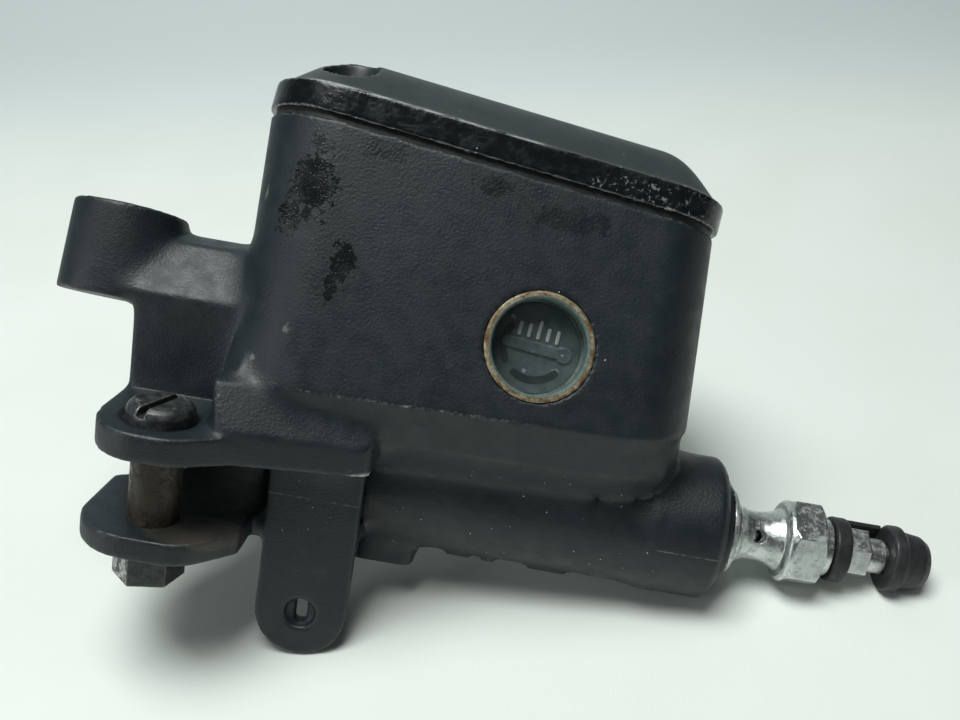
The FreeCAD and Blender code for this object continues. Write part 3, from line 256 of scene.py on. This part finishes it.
def powder_coat():
    """Dark slate pebbled powder coat, with oily patches carrying painted glints, dust, dull smears
    and worn edges.
    """
    material, tree, shader = new_material("powder_coat")
    place = coordinates(tree)
    tone = noise(tree, place, 14, 4, 0.6)
    shade = blend_range(tree, tone, 0.3, 0.7)
    base = mixed(tree, shade, (0.0040, 0.0086, 0.0115), (0.0080, 0.0138, 0.0176))
    patches = [
        times(tree, blob(tree, centre, radii, 0.75, 1.3), weight)
        for centre, radii, weight in WET_STAINS
    ]
    stain = largest(tree, patches)
    base = mixed(tree, stain, base, (0.002, 0.003, 0.0035))
    # Painted highlights: pale specks laid over the oily patches stand in for glints of light on the
    # wet pebbles.
    glint = specks(tree, stretched(tree, place, (1, 1, 1), (0.2, 0.5, 0.1)), 0.5, 0.17, 0.3)
    painted_glints = times(tree, glint, stain)
    base = laid_over(tree, base, painted_glints, 0.8, (0.30, 0.33, 0.34))
    dull = blend_range(tree, noise(tree, place, 5, 6, 0.7), 0.56, 0.78)
    base = laid_over(tree, base, dull, 0.3, (0.045, 0.058, 0.064))
    broken = blend_range(tree, noise(tree, place, 1.6, 5), 0.42, 0.62)
    worn = times(tree, edges(tree, 0.52, 0.58), broken)
    base = laid_over(tree, base, worn, 0.55, (0.16, 0.165, 0.165))
    corner = blob(tree, (-62.4, -17.8, 2.2), (3.4, 3, 4.0), 0.4, 1.0)
    bright_corner = times(tree, edges(tree, 0.515, 0.56), corner)
    base = mixed(tree, bright_corner, base, (0.62, 0.63, 0.61))
    flecks = blend_range(tree, noise(tree, place, 0.6, 5, 0.7), 0.46, 0.60)
    foot = times(tree, blob(tree, (-60, -20, 14.5), (24, 3, 1.2), 0.3, 1.2), flecks)
    foot_edge = times(tree, edges(tree, 0.508, 0.53), foot)
    base = laid_over(tree, base, foot_edge, 0.7, (0.33, 0.34, 0.34))
    base = laid_over(tree, base, parting_lines(tree), 0.45, (0.22, 0.23, 0.23))
    grease = blob(tree, (-89, -13, -10.5), (9, 8, 2.6), 0.12, 3)
    smeared = times(tree, grease, blend_range(tree, tone, 0.25, 0.7, 0.3, 0.75))
    base = mixed(tree, smeared, base, (0.060, 0.050, 0.036))
    seat = blob(tree, (1.3, 0, 0), (1.25, 9.7, 9.7), 0.0)
    base = mixed(tree, seat, base, (0.003, 0.0035, 0.004))
    low = blob(tree, (-38, -6, -4), (44, 18, 12), 0.5, 6)
    dust = times(tree, specks(tree, place, 1.5, 0.085, 0.45), low)
    lint = specks(tree, stretched(tree, place, (1, 1, 0.6), (0.4, 0.9, 0.2)), 5.2, 0.022, 0.6)
    base = mixed(tree, largest(tree, [dust, lint]), base, (0.55, 0.56, 0.54))
    feed(tree, shader.inputs["Base Color"], base)
    rough = blend_range(tree, noise(tree, place, 3, 4), 0.3, 0.7, 0.44, 0.56)
    wet = times(tree, largest(tree, [stain, seat]), -0.30)
    feed(tree, shader.inputs["Roughness"], combine(tree, "ADD", rough, wet))
    shader.inputs["Specular IOR Level"].default_value = 0.5
    pebble = cells(tree, place, 0.42, "SMOOTH_F1")
    soft = noise(tree, place, 0.42, 3, 0.55)
    height = combine(tree, "ADD", times(tree, pebble, 0.5), soft)
    bump(tree, shader, height, 0.06)
    return material


def parting_lines(tree):
    """Thin scuffed lines where the mould halves met, on the tongue and beside the hose port."""
    place = coordinates(tree)
    split = tree.nodes.new("ShaderNodeSeparateXYZ")
    tree.links.new(place, split.inputs[0])
    away = combine(tree, "SUBTRACT", split.outputs["Z"], PARTING_HEIGHT)
    level = blend_range(tree, combine(tree, "ABSOLUTE", away, 0.0), 0.06, 0.16, 1, 0)
    broken = blend_range(tree, noise(tree, place, 1.4, 5, 0.7), 0.40, 0.60)
    near = largest(tree, [
        blob(tree, (-71.1, -9.3, -3.4), (9, 4, 4), 0.0),
        blob(tree, (-7, -11.5, -4), (6, 4, 4), 0.0),
    ])
    return times(tree, times(tree, level, broken), near)


# Height of the top of the lid's side band, along the lid's own upright.
LID_BAND_TOP = 53.2


def lid_paint():
    """Gloss black lid: scratched, orange-peel band, satin crown, paint gone along the edges;
    painted light makes the crown lighter and the band darker, and a painted highlight runs along
    the band's top edge.
    """
    material, tree, shader = new_material("lid_paint")
    place = coordinates(tree)
    along = stretched(tree, place, (0.16, 0.5, 1.6), (0, math.radians(15), 0))
    band = blend_range(tree, level_height(tree), LID_BAND_TOP - 0.4, LID_BAND_TOP + 0.5, 1, 0)
    tone = blend_range(tree, noise(tree, place, 9, 5, 0.6), 0.3, 0.7)
    # Painted light and shade: the up-facing crown is given a lighter colour and the steep band a
    # darker one, besides the crown's satin finish and the band's gloss.
    crown = mixed(tree, tone, (0.012, 0.0165, 0.0185), (0.020, 0.025, 0.0275))
    base = mixed(tree, band, crown, (0.0035, 0.0055, 0.0065))
    scuff = blend_range(tree, noise(tree, along, 1.6, 8, 0.75), 0.57, 0.72)
    scuff = times(tree, times(tree, scuff, band), 0.16)
    base = mixed(tree, scuff, base, (0.13, 0.14, 0.14))
    broken = blend_range(tree, noise(tree, along, 1.0, 6, 0.7), 0.38, 0.54)
    # Partly painted highlight: a light line along the top edge of the band stands for that edge
    # catching the light, together with the paint worn off it.
    crease_wear_and_highlight = combine(tree, "SUBTRACT", level_height(tree), LID_BAND_TOP - 0.1)
    crease_wear_and_highlight = blend_range(tree, combine(tree, "ABSOLUTE", crease_wear_and_highlight, 0.0), 0.12, 0.34, 1, 0)
    crease_wear_and_highlight = times(tree, crease_wear_and_highlight, blob(tree, (-66, -21, 54), (26, 6, 12), 0.1))
    rubbed = times(tree, largest(tree, [edges(tree, 0.525, 0.56), crease_wear_and_highlight]), broken)
    base = laid_over(tree, base, rubbed, 0.8, (0.36, 0.38, 0.38))
    chips = blend_range(tree, noise(tree, place, 0.9, 7, 0.8), 0.57, 0.60)
    right_end = blob(tree, (-23.0, -21.0, 53.4), (12, 6, 3.0), 0.3, 2)
    flaked = times(tree, times(tree, chips, right_end), band)
    base = laid_over(tree, base, flaked, 0.75, (0.20, 0.22, 0.215))
    lint = specks(tree, place, 4.2, 0.028, 0.5)
    base = mixed(tree, lint, base, (0.5, 0.52, 0.5))
    feed(tree, shader.inputs["Base Color"], base)
    gloss = blend_range(tree, noise(tree, place, 2.2, 5, 0.6), 0.35, 0.7, 0.17, 0.34)
    satin = blend_range(tree, noise(tree, place, 4, 4), 0.3, 0.7, 0.40, 0.48)
    difference = combine(tree, "SUBTRACT", gloss, satin)
    rough = combine(tree, "ADD", satin, times(tree, difference, band))
    bare = largest(tree, [rubbed, flaked])
    rough = combine(tree, "ADD", rough, times(tree, bare, 0.25))
    feed(tree, shader.inputs["Roughness"], rough)
    peel = noise(tree, place, 0.7, 3, 0.5)
    relief = times(tree, peel, blend_range(tree, band, 0, 1, 0.25, 1))
    bump(tree, shader, relief, 0.06)
    return material


def level_height(tree):
    """Height in millimetres above the origin along the lid's own upright."""
    up = (TANK_TURN.to_matrix() @ Matrix.Rotation(LID_SLOPE, 3, "Y")) @ Vector((0, 0, 1))
    node = tree.nodes.new("ShaderNodeVectorMath")
    node.operation = "DOT_PRODUCT"
    tree.links.new(coordinates(tree), node.inputs[0])
    node.inputs[1].default_value = up
    return node.outputs["Value"]


def rubber(name="rubber", tone=(0.012, 0.0125, 0.013)):
    material, tree, shader = new_material(name)
    place = coordinates(tree)
    bloom = blend_range(tree, noise(tree, place, 3, 5, 0.65), 0.45, 0.75)
    pale = tuple(min(1, 3.2 * part) for part in tone)
    base = mixed(tree, times(tree, bloom, 0.5), tone, pale)
    dust = specks(tree, place, 1.6, 0.05, 0.25)
    feed(tree, shader.inputs["Base Color"], mixed(tree, dust, base, (0.4, 0.4, 0.38)))
    rough = blend_range(tree, noise(tree, place, 1.2, 4), 0.3, 0.7, 0.42, 0.62)
    feed(tree, shader.inputs["Roughness"], rough)
    bump(tree, shader, noise(tree, place, 0.3, 4, 0.6), 0.02)
    return material


def plated_steel(name, tint=(0.62, 0.64, 0.63), corrosion=0.5, dirt=0.4, polish=0.2):
    """Zinc-plated steel with pale corrosion, dark pits and fine turning marks."""
    material, tree, shader = new_material(name)
    place = coordinates(tree)
    cloud = noise(tree, place, 2.6, 6, 0.7)
    bloom = times(tree, blend_range(tree, cloud, 0.46, 0.66), corrosion)
    spots = blend_range(tree, noise(tree, place, 0.8, 7, 0.75), 0.56, 0.66)
    pits = times(tree, spots, dirt)
    base = mixed(tree, bloom, tint, tuple(0.62 * part for part in tint))
    base = mixed(tree, pits, base, (0.07, 0.072, 0.068))
    feed(tree, shader.inputs["Base Color"], base)
    dull = combine(tree, "MAXIMUM", bloom, pits)
    feed(tree, shader.inputs["Metallic"], blend_range(tree, dull, 0.1, 0.9, 1.0, 0.55))
    marks = noise(tree, stretched(tree, place, (6, 0.25, 0.25)), 1.0, 3, 0.6)
    rough = combine(tree, "ADD", times(tree, dull, 0.4), polish)
    rough = combine(tree, "ADD", rough, times(tree, marks, 0.12))
    feed(tree, shader.inputs["Roughness"], rough)
    pitted = bump(tree, shader, times(tree, dull, -1.0), 0.03)
    bump(tree, shader, marks, 0.012, under=pitted)
    return material


def worn_black_steel(name):
    """Black-finished steel rubbed bright along its edges, with dirt in the corners."""
    material, tree, shader = new_material(name)
    place = coordinates(tree)
    cloud = noise(tree, place, 1.8, 6, 0.7)
    shade = blend_range(tree, cloud, 0.35, 0.7)
    base = mixed(tree, shade, (0.030, 0.033, 0.034), (0.085, 0.09, 0.09))
    ragged = blend_range(tree, noise(tree, place, 0.7, 5, 0.7), 0.36, 0.58)
    bare = times(tree, edges(tree, 0.51, 0.57), ragged)
    base = mixed(tree, bare, base, (0.50, 0.50, 0.48))
    grime = edges(tree, 0.49, 0.44)
    base = laid_over(tree, base, grime, 0.7, (0.05, 0.038, 0.028))
    feed(tree, shader.inputs["Base Color"], base)
    feed(tree, shader.inputs["Metallic"], blend_range(tree, bare, 0, 1, 0.55, 1.0))
    feed(tree, shader.inputs["Roughness"], blend_range(tree, cloud, 0.3, 0.7, 0.30, 0.52))
    bump(tree, shader, noise(tree, place, 0.4, 5, 0.65), 0.03)
    return material


def rusty_steel(name, steel, rust):
    """Dark steel under a brown film of rust."""
    material, tree, shader = new_material(name)
    place = coordinates(tree)
    patches = blend_range(tree, noise(tree, place, 1.2, 7, 0.72), 0.38, 0.66)
    deep = blend_range(tree, noise(tree, place, 0.54, 6, 0.7), 0.4, 0.7)
    brown = mixed(tree, deep, rust, tuple(0.35 * part for part in rust))
    feed(tree, shader.inputs["Base Color"], mixed(tree, patches, steel, brown))
    feed(tree, shader.inputs["Metallic"], blend_range(tree, patches, 0, 1, 0.75, 0.05))
    feed(tree, shader.inputs["Roughness"], blend_range(tree, patches, 0, 1, 0.35, 0.75))
    bump(tree, shader, noise(tree, place, 0.35, 6, 0.7), 0.05)
    return material


def sight_ring_finish():
    """Cream plating with orange rust on the face, pale green on the wall inside."""
    material, tree, shader = new_material("sight_ring_finish")
    place = coordinates(tree)
    patches = blend_range(tree, noise(tree, place, 1.5, 7, 0.75), 0.42, 0.56)
    deep = blend_range(tree, noise(tree, place, 0.5, 6, 0.7), 0.42, 0.66)
    cream = mixed(tree, deep, (0.26, 0.22, 0.145), (0.42, 0.38, 0.28))
    rust = mixed(tree, deep, (0.17, 0.095, 0.035), (0.055, 0.033, 0.016))
    face = mixed(tree, patches, cream, rust)
    wall = mixed(tree, deep, (0.09, 0.13, 0.12), (0.17, 0.22, 0.20))
    share = glass_radius(tree, 8.0, 8.25)
    feed(tree, shader.inputs["Base Color"], mixed(tree, share, wall, face))
    shader.inputs["Metallic"].default_value = 0.25
    feed(tree, shader.inputs["Roughness"], blend_range(tree, patches, 0, 1, 0.36, 0.7))
    bump(tree, shader, noise(tree, place, 0.35, 5, 0.7), 0.04)
    return material


def glass_radius(tree, low, high):
    """0 inside one radius about the sight glass's axis, 1 outside another; millimetres."""
    source = tree.nodes.new("ShaderNodeTexCoord")
    place = tree.nodes.new("ShaderNodeMapping")
    place.vector_type = "TEXTURE"
    tree.links.new(source.outputs["Object"], place.inputs["Vector"])
    place.inputs["Location"].default_value = tank_point(GLASS_X, TANK_FRONT, GLASS_Z)
    place.inputs["Rotation"].default_value = TANK_TURN
    place.inputs["Scale"].default_value = (MM, MM, MM)
    split = tree.nodes.new("ShaderNodeSeparateXYZ")
    tree.links.new(place.outputs[0], split.inputs[0])
    across = combine(tree, "POWER", combine(tree, "ABSOLUTE", split.outputs["X"], 0.0), 2.0)
    upwards = combine(tree, "POWER", combine(tree, "ABSOLUTE", split.outputs["Z"], 0.0), 2.0)
    radius = combine(tree, "POWER", combine(tree, "ADD", across, upwards), 0.5)
    return blend_range(tree, radius, low, high)


def reflector_plastic(name="reflector_plastic", tone=(0.085, 0.105, 0.11)):
    material, tree, shader = new_material(name)
    place = coordinates(tree)
    film = blend_range(tree, noise(tree, place, 2.2, 5, 0.65), 0.35, 0.7)
    dark = tuple(0.55 * part for part in tone)
    base = mixed(tree, film, tone, dark)
    # Painted highlight: the outer edges are given a lighter copy of the tone.
    bright = tuple(min(1, 3.5 * part) for part in tone)
    feed(tree, shader.inputs["Base Color"], mixed(tree, edges(tree, 0.52, 0.58), base, bright))
    feed(tree, shader.inputs["Roughness"], blend_range(tree, film, 0, 1, 0.3, 0.45))
    bump(tree, shader, noise(tree, place, 0.5, 4, 0.6), 0.02)
    return material


def lens_glass():
    """Clear glass a little hazed with dirt, seen through by its low cover, glossy on its face."""
    material, tree, shader = new_material("lens_glass")
    place = coordinates(tree)
    haze = blend_range(tree, noise(tree, place, 2.0, 5, 0.6), 0.45, 0.8, 0.03, 0.16)
    feed(tree, shader.inputs["Roughness"], haze)
    cloud = blend_range(tree, noise(tree, place, 4, 3), 0.3, 0.7)
    tint = mixed(tree, cloud, (0.10, 0.15, 0.15), (0.22, 0.28, 0.27))
    feed(tree, shader.inputs["Base Color"], tint)
    cover = blend_range(tree, noise(tree, place, 3, 4), 0.3, 0.8, 0.05, 0.13)
    feed(tree, shader.inputs["Alpha"], cover)
    shader.inputs["IOR"].default_value = 1.5
    return material


def cast_metal(name, tint, roughness=0.35):
    """Anodised or pressed metal with a light grain, for the pieces inside."""
    material, tree, shader = new_material(name)
    place = coordinates(tree)
    cloud = noise(tree, place, 1.5, 5, 0.6)
    dark = tuple(0.7 * part for part in tint)
    feed(tree, shader.inputs["Base Color"], mixed(tree, cloud, tint, dark))
    shader.inputs["Metallic"].default_value = 0.9
    rough = blend_range(tree, cloud, 0.3, 0.7, roughness - 0.08, roughness + 0.1)
    feed(tree, shader.inputs["Roughness"], rough)
    bump(tree, shader, noise(tree, stretched(tree, place, (8, 0.4, 0.4)), 1.0, 3), 0.01)
    return material


# ---- soft-edged copies of the CAD pieces --------------------------------------------------

def joined_copy(node):
    """A copy of a CAD node's mesh with its split vertices joined again."""
    mesh = NODES[node].data.copy()
    work = bmesh.new()
    work.from_mesh(mesh)
    bmesh.ops.remove_doubles(work, verts=work.verts, dist=2e-6)
    work.to_mesh(mesh)
    work.free()
    copy = bpy.data.objects.new(node + "_skin", mesh)
    bpy.context.scene.collection.objects.link(copy)
    return copy


def apply_modifiers(piece):
    bpy.context.view_layer.update()
    evaluated = piece.evaluated_get(bpy.context.evaluated_depsgraph_get())
    result = bpy.data.meshes.new_from_object(evaluated)
    piece.modifiers.clear()
    piece.data = result


def neighbours(node, reach):
    """Trees of the other CAD nodes' surfaces whose boxes come near this node."""
    low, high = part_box(node)
    trees = []
    for name, other in NODES.items():
        other_low, other_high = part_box(name)
        above = any(other_low[axis] > high[axis] + reach for axis in range(3))
        below = any(other_high[axis] < low[axis] - reach for axis in range(3))
        if name != node and not above and not below:
            points = [vertex.co for vertex in other.data.vertices]
            faces = [face.vertices[:] for face in other.data.polygons]
            trees.append(BVHTree.FromPolygons(points, faces))
    return trees


def free_share(node, points, reach):
    """0 for points that touch another piece, rising to 1 at a distance of reach."""
    share = np.ones(len(points))
    for tree in neighbours(node, reach):
        for index, point in enumerate(points):
            found = tree.find_nearest(point, reach)[3]
            if found is not None:
                share[index] = min(share[index], found / reach)
    return np.clip(share * 2 - 1, 0, 1)


# Places in millimetres whose corners stay crisp, and how far round them.
CRISP_PLACES = [((1, 0, 0), 11.5), ((-70.1, -15, -22), 4.5)]


def crisp_share(points):
    """0 inside the places that stay crisp, rising to 1 two millimetres outside them."""
    share = np.ones(len(points))
    for centre, radius in CRISP_PLACES:
        away = np.linalg.norm(points - np.array(centre) * MM, axis=1)
        share = np.minimum(share, np.clip((away - radius * MM) / (2 * MM), 0, 1))
    return share


# A soft-edged copy keeps its CAD shape within this distance of another piece.
TOUCH_REACH = 1.2 * MM


def soften(node, body, voxel, fill_rounds, smooth_rounds, keep):
    """A finely meshed copy, its inner corners filled like a casting's and its outer edges eased."""
    piece = joined_copy(node)
    remesh = piece.modifiers.new("remesh", "REMESH")
    remesh.mode = "VOXEL"
    remesh.voxel_size = voxel * MM
    apply_modifiers(piece)
    mesh = piece.data
    count = len(mesh.vertices)
    points = np.empty(count * 3)
    mesh.vertices.foreach_get("co", points)
    points = points.reshape(-1, 3)
    pairs = np.empty(len(mesh.edges) * 2, int)
    mesh.edges.foreach_get("vertices", pairs)
    first, second = pairs.reshape(-1, 2).T
    degree = np.bincount(first, minlength=count) + np.bincount(second, minlength=count)
    quads = np.empty(len(mesh.loops), int)
    mesh.loops.foreach_get("vertex_index", quads)
    quads = quads.reshape(-1, 4)
    free = free_share(node, points, TOUCH_REACH) * crisp_share(points)

    def pull(values):
        """From each vertex to the middle of its neighbours."""
        total = np.empty_like(values)
        for axis in range(3):
            column = values[:, axis]
            total[:, axis] = np.bincount(first, column[second], count)
            total[:, axis] += np.bincount(second, column[first], count)
        return total / degree[:, None] - values

    def normals(values):
        corners = [values[quads[:, corner]] for corner in range(4)]
        across = np.cross(corners[2] - corners[0], corners[3] - corners[1])
        total = np.zeros_like(values)
        for corner in range(4):
            for axis in range(3):
                total[:, axis] += np.bincount(quads[:, corner], across[:, axis], count)
        return total / np.maximum(np.linalg.norm(total, axis=1), 1e-20)[:, None]

    for step in range(fill_rounds):
        if step % 4 == 0:
            outward = normals(points)
        rise = np.maximum((pull(points) * outward).sum(1), 0)
        points += outward * (0.9 * rise * free)[:, None]
    for step in range(smooth_rounds):
        points += pull(points) * (0.5 * np.maximum(free, 0.25))[:, None]
    mesh.vertices.foreach_set("co", points.ravel())
    mesh.update()
    if keep < 1:
        decimate = piece.modifiers.new("decimate", "DECIMATE")
        decimate.ratio = keep
        apply_modifiers(piece)
    piece.data.shade_smooth()
    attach(piece, body)
    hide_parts(node)
    return piece


# Node, body, voxel in millimetres, rounds that fill inner corners, rounds that ease edges,
# share of the faces kept.
SOFTENED = [
    ("body_casting", "housing", 0.45, 90, 3, 0.45),
    ("reservoir_lid", "housing", 0.32, 12, 4, 0.5),
    ("pivot_bolt", "housing", 0.16, 0, 4, 0.5),
    ("pivot_nut", "housing", 0.16, 0, 4, 0.5),
    ("banjo_bolt", "housing", 0.18, 2, 2, 0.5),
    ("bleed_screw", "bleeder", 0.16, 2, 3, 0.5),
    ("bleed_cap", "housing", 0.16, 2, 4, 0.5),
    ("cap_tether", "housing", 0.16, 3, 4, 0.5),
    ("crush_washer", "housing", 0.12, 0, 2, 0.5),
    ("clamp_cap", "housing", 0.4, 20, 3, 0.5),
    ("level_reflector", "housing", 0.14, 0, 2, 0.5),
]


# ---- marks behind the sight glass ---------------------------------------------------------

REFLECTOR_FACE = -5.3
SLOT_RADIUS = 5.3
SLOT_WIDTH = 1.25
SLOT_THICK = 0.06
TICK_FOOT = 1.7
TICK_HALF_WIDTH = 0.28
TICK_THICK = 0.35
SUNK = 0.2


def glass_place(turn=0.0):
    """Own X along the reservoir, own Y up it, own Z out of its front wall, at the sight glass."""
    outward = TANK_TURN.to_matrix() @ Matrix.Rotation(math.radians(90), 3, "X")
    face = outward @ Matrix.Rotation(turn, 3, "Z")
    return Matrix.LocRotScale(tank_point(GLASS_X, TANK_FRONT, GLASS_Z), face, None)


def ribbon(work, path, half, low, high):
    """A flat strip with round ends along points in millimetres, as a closed solid."""
    left = []
    right = []
    for index, point in enumerate(path):
        ahead = path[min(index + 1, len(path) - 1)] - path[max(index - 1, 0)]
        side = Vector((-ahead.y, ahead.x)).normalized() * half
        left.append(point + side)
        right.append(point - side)
    end_steps = 8
    outline = list(left)
    for centre, start in ((path[-1], left[-1] - path[-1]), (path[0], right[0] - path[0])):
        for step in range(1, end_steps):
            turn = Matrix.Rotation(-math.pi * step / end_steps, 2)
            outline.append(centre + turn @ start)
        if centre is path[-1]:
            outline += reversed(right)
    lower = [work.verts.new(Vector((p.x, p.y, low)) * MM) for p in outline]
    upper = [work.verts.new(Vector((p.x, p.y, high)) * MM) for p in outline]
    work.faces.new(upper)
    work.faces.new(reversed(lower))
    for index in range(len(outline)):
        following = (index + 1) % len(outline)
        work.faces.new((lower[index], lower[following], upper[following], upper[index]))


def arc(radius, start, end, steps=20):
    angles = [math.radians(start + (end - start) * step / steps) for step in range(steps + 1)]
    return [Vector((radius * math.cos(angle), radius * math.sin(angle))) for angle in angles]


def mesh_piece(name, work, place, material):
    bmesh.ops.recalc_face_normals(work, faces=work.faces)
    mesh = bpy.data.meshes.new(name)
    work.to_mesh(mesh)
    work.free()
    mesh.transform(place)
    piece = bpy.data.objects.new(name, mesh)
    bpy.context.scene.collection.objects.link(piece)
    mesh.materials.append(material)
    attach(piece, "housing")
    return piece


def add_level_slots(material):
    """Two dark curved slots in the lower half of the reflector."""
    work = bmesh.new()
    low = REFLECTOR_FACE - SUNK
    high = REFLECTOR_FACE + SLOT_THICK
    ribbon(work, arc(SLOT_RADIUS, 152, 215), SLOT_WIDTH / 2, low, high)
    ribbon(work, arc(SLOT_RADIUS, 243, 322), SLOT_WIDTH / 2, low, high)
    mesh_piece("reflector_slots", work, glass_place(-LID_SLOPE), material)


def add_level_ticks(material):
    """Raised plain ticks over the level bar."""
    work = bmesh.new()
    for x in (-3.2, -1.6, 0.0, 1.6, 3.2):
        tall = 2.6 if x == 0.0 else 1.7
        ends = [Vector((x, TICK_FOOT)), Vector((x, TICK_FOOT + tall))]
        ribbon(work, ends, TICK_HALF_WIDTH, REFLECTOR_FACE - SUNK, REFLECTOR_FACE + TICK_THICK)
    piece = mesh_piece("level_ticks", work, glass_place(-LID_SLOPE), material)
    bevel = piece.modifiers.new("bevel", "BEVEL")
    bevel.width = 0.1 * MM
    bevel.segments = 2
    apply_modifiers(piece)


# ---- floor, backdrop and light ------------------------------------------------------------

def floor_axes():
    """Right and back along the floor, as the camera sees it."""
    look = Vector((0, 0.961, -0.276))
    back = (look - look.dot(FLOOR_UP) * FLOOR_UP).normalized()
    return back.cross(FLOOR_UP), back


def floor_point(right, back, up):
    """A point given in metres across, back and up from the floor under the object."""
    across, behind = floor_axes()
    under = Vector((-0.045, 0, 0))
    under += (FLOOR_HEIGHT - under.dot(FLOOR_UP)) * FLOOR_UP
    return under + across * right + behind * back + FLOOR_UP * up


def backdrop_paper():
    material, tree, shader = new_material("backdrop_paper")
    place = coordinates(tree)
    tone = blend_range(tree, noise(tree, place, 60, 3, 0.5), 0.3, 0.7)
    paper = mixed(tree, tone, (0.74, 0.775, 0.73), (0.77, 0.80, 0.76))
    # Painted shade: the paper is painted darker with distance back along the floor and up the
    # curve, where less light falls.
    along = tree.nodes.new("ShaderNodeVectorMath")
    along.operation = "DOT_PRODUCT"
    tree.links.new(place, along.inputs[0])
    along.inputs[1].default_value = floor_axes()[1]
    far = blend_range(tree, along.outputs["Value"], 170, 330)
    feed(tree, shader.inputs["Base Color"], mixed(tree, far, paper, (0.64, 0.70, 0.70)))
    feed(tree, shader.inputs["Roughness"], blend_range(tree, tone, 0, 1, 0.55, 0.65))
    weave = noise(tree, stretched(tree, place, (2.5, 0.4, 1)), 1.0, 3)
    bump(tree, shader, weave, 0.03)
    return material


def add_backdrop():
    """A floor that sweeps up behind the object in one curve."""
    curve_start = 0.34
    curve_radius = 0.30
    profile = [(-1.2, 0.0), (curve_start, 0.0)]
    for step in range(1, 17):
        angle = math.radians(90 * step / 16)
        back = curve_start + curve_radius * math.sin(angle)
        profile.append((back, curve_radius * (1 - math.cos(angle))))
    profile.append((curve_start + curve_radius, 1.6))
    work = bmesh.new()
    rows = []
    for side in (-2.2, 2.2):
        rows.append([work.verts.new(floor_point(side, back, up)) for back, up in profile])
    for index in range(len(profile) - 1):
        work.faces.new((rows[0][index], rows[1][index], rows[1][index + 1], rows[0][index + 1]))
    mesh = bpy.data.meshes.new("backdrop")
    work.to_mesh(mesh)
    work.free()
    mesh.shade_smooth()
    mesh.materials.append(backdrop_paper())
    backdrop = bpy.data.objects.new("backdrop", mesh)
    bpy.context.scene.collection.objects.link(backdrop)


def add_lamp(name, place, aim, size, power, colour):
    data = bpy.data.lights.new(name, "AREA")
    data.shape = "RECTANGLE"
    data.size, data.size_y = size
    data.energy = power
    data.color = colour
    lamp = bpy.data.objects.new(name, data)
    bpy.context.scene.collection.objects.link(lamp)
    lamp.location = floor_point(*place)
    lamp.rotation_euler = (floor_point(*aim) - lamp.location).to_track_quat("-Z", "Y").to_euler()


def add_light():
    world = bpy.data.worlds.new("studio")
    bpy.context.scene.world = world
    world.use_nodes = True
    background = world.node_tree.nodes["Background"]
    background.inputs["Color"].default_value = (0.86, 0.93, 0.95, 1)
    background.inputs["Strength"].default_value = 0.06
    add_lamp("overhead", (-0.10, -0.05, 0.75), (0, 0, 0), (0.42, 0.36), 6.3, (0.96, 1.0, 0.985))
    window_aim = (-0.06, 0, 0.03)
    add_lamp("left_window", (-0.75, -0.35, 0.30), window_aim, (0.35, 0.4), 1.5, (0.93, 0.99, 1.0))
    bpy.context.scene.view_settings.view_transform = "Standard"


# ---- putting it together ------------------------------------------------------------------

def finishes():
    """One material for each node, by name."""
    black_rubber = rubber()
    coat = powder_coat()
    plated = plated_steel("plated_steel")
    return {
        "body_casting": coat,
        "clamp_cap": coat,
        "reservoir_lid": lid_paint(),
        "lid_screws": plated_steel("screw_steel", (0.30, 0.31, 0.31), 0.4, 0.7, 0.32),
        "diaphragm": black_rubber,
        "splash_plate": plated,
        "sight_ring": sight_ring_finish(),
        "sight_lens": lens_glass(),
        "sight_seal": rubber("green_rubber", (0.16, 0.22, 0.20)),
        "level_reflector": reflector_plastic(),
        "piston": cast_metal("anodised_metal", (0.62, 0.58, 0.48)),
        "secondary_cup": black_rubber,
        "primary_cup": black_rubber,
        "spring_seat": plated,
        "return_spring": cast_metal("spring_wire", (0.45, 0.45, 0.46), 0.3),
        "stop_washer": plated,
        "circlip": worn_black_steel("circlip_steel"),
        "dust_boot": black_rubber,
        "pivot_bolt": worn_black_steel("head_steel"),
        "pivot_bush": rusty_steel("bush_steel", (0.055, 0.05, 0.04), (0.05, 0.032, 0.018)),
        "pivot_nut": worn_black_steel("nut_steel"),
        "crush_washer": plated_steel("washer_metal", (0.55, 0.56, 0.54), 0.8, 0.8, 0.3),
        "banjo_bolt": plated_steel("bolt_plating", (0.60, 0.63, 0.62), 0.7, 0.6, 0.22),
        "bleed_screw": plated_steel("bleeder_plating", (0.60, 0.61, 0.60), 0.6, 0.55, 0.24),
        "bleed_cap": rubber("cap_rubber", (0.014, 0.0145, 0.016)),
        "cap_tether": rubber("tether_rubber", (0.011, 0.0115, 0.0125)),
        "clamp_bolts": worn_black_steel("bolt_steel"),
    }


def paint(piece, material):
    piece.data.materials.clear()
    piece.data.materials.append(material)


def main():
    add_camera()
    coats = finishes()
    for name, node in NODES.items():
        node.data.materials.clear()
        node.data.materials.append(coats[name])
    for node, body, voxel, fill_rounds, smooth_rounds, keep in SOFTENED:
        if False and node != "reservoir_lid":
            continue
        paint(soften(node, body, voxel, fill_rounds, smooth_rounds, keep), coats[node])
    add_level_slots(reflector_plastic("slot_dark", (0.003, 0.0035, 0.004)))
    add_level_ticks(reflector_plastic("tick_plastic", (0.36, 0.40, 0.40)))
    add_backdrop()
    add_light()


main()
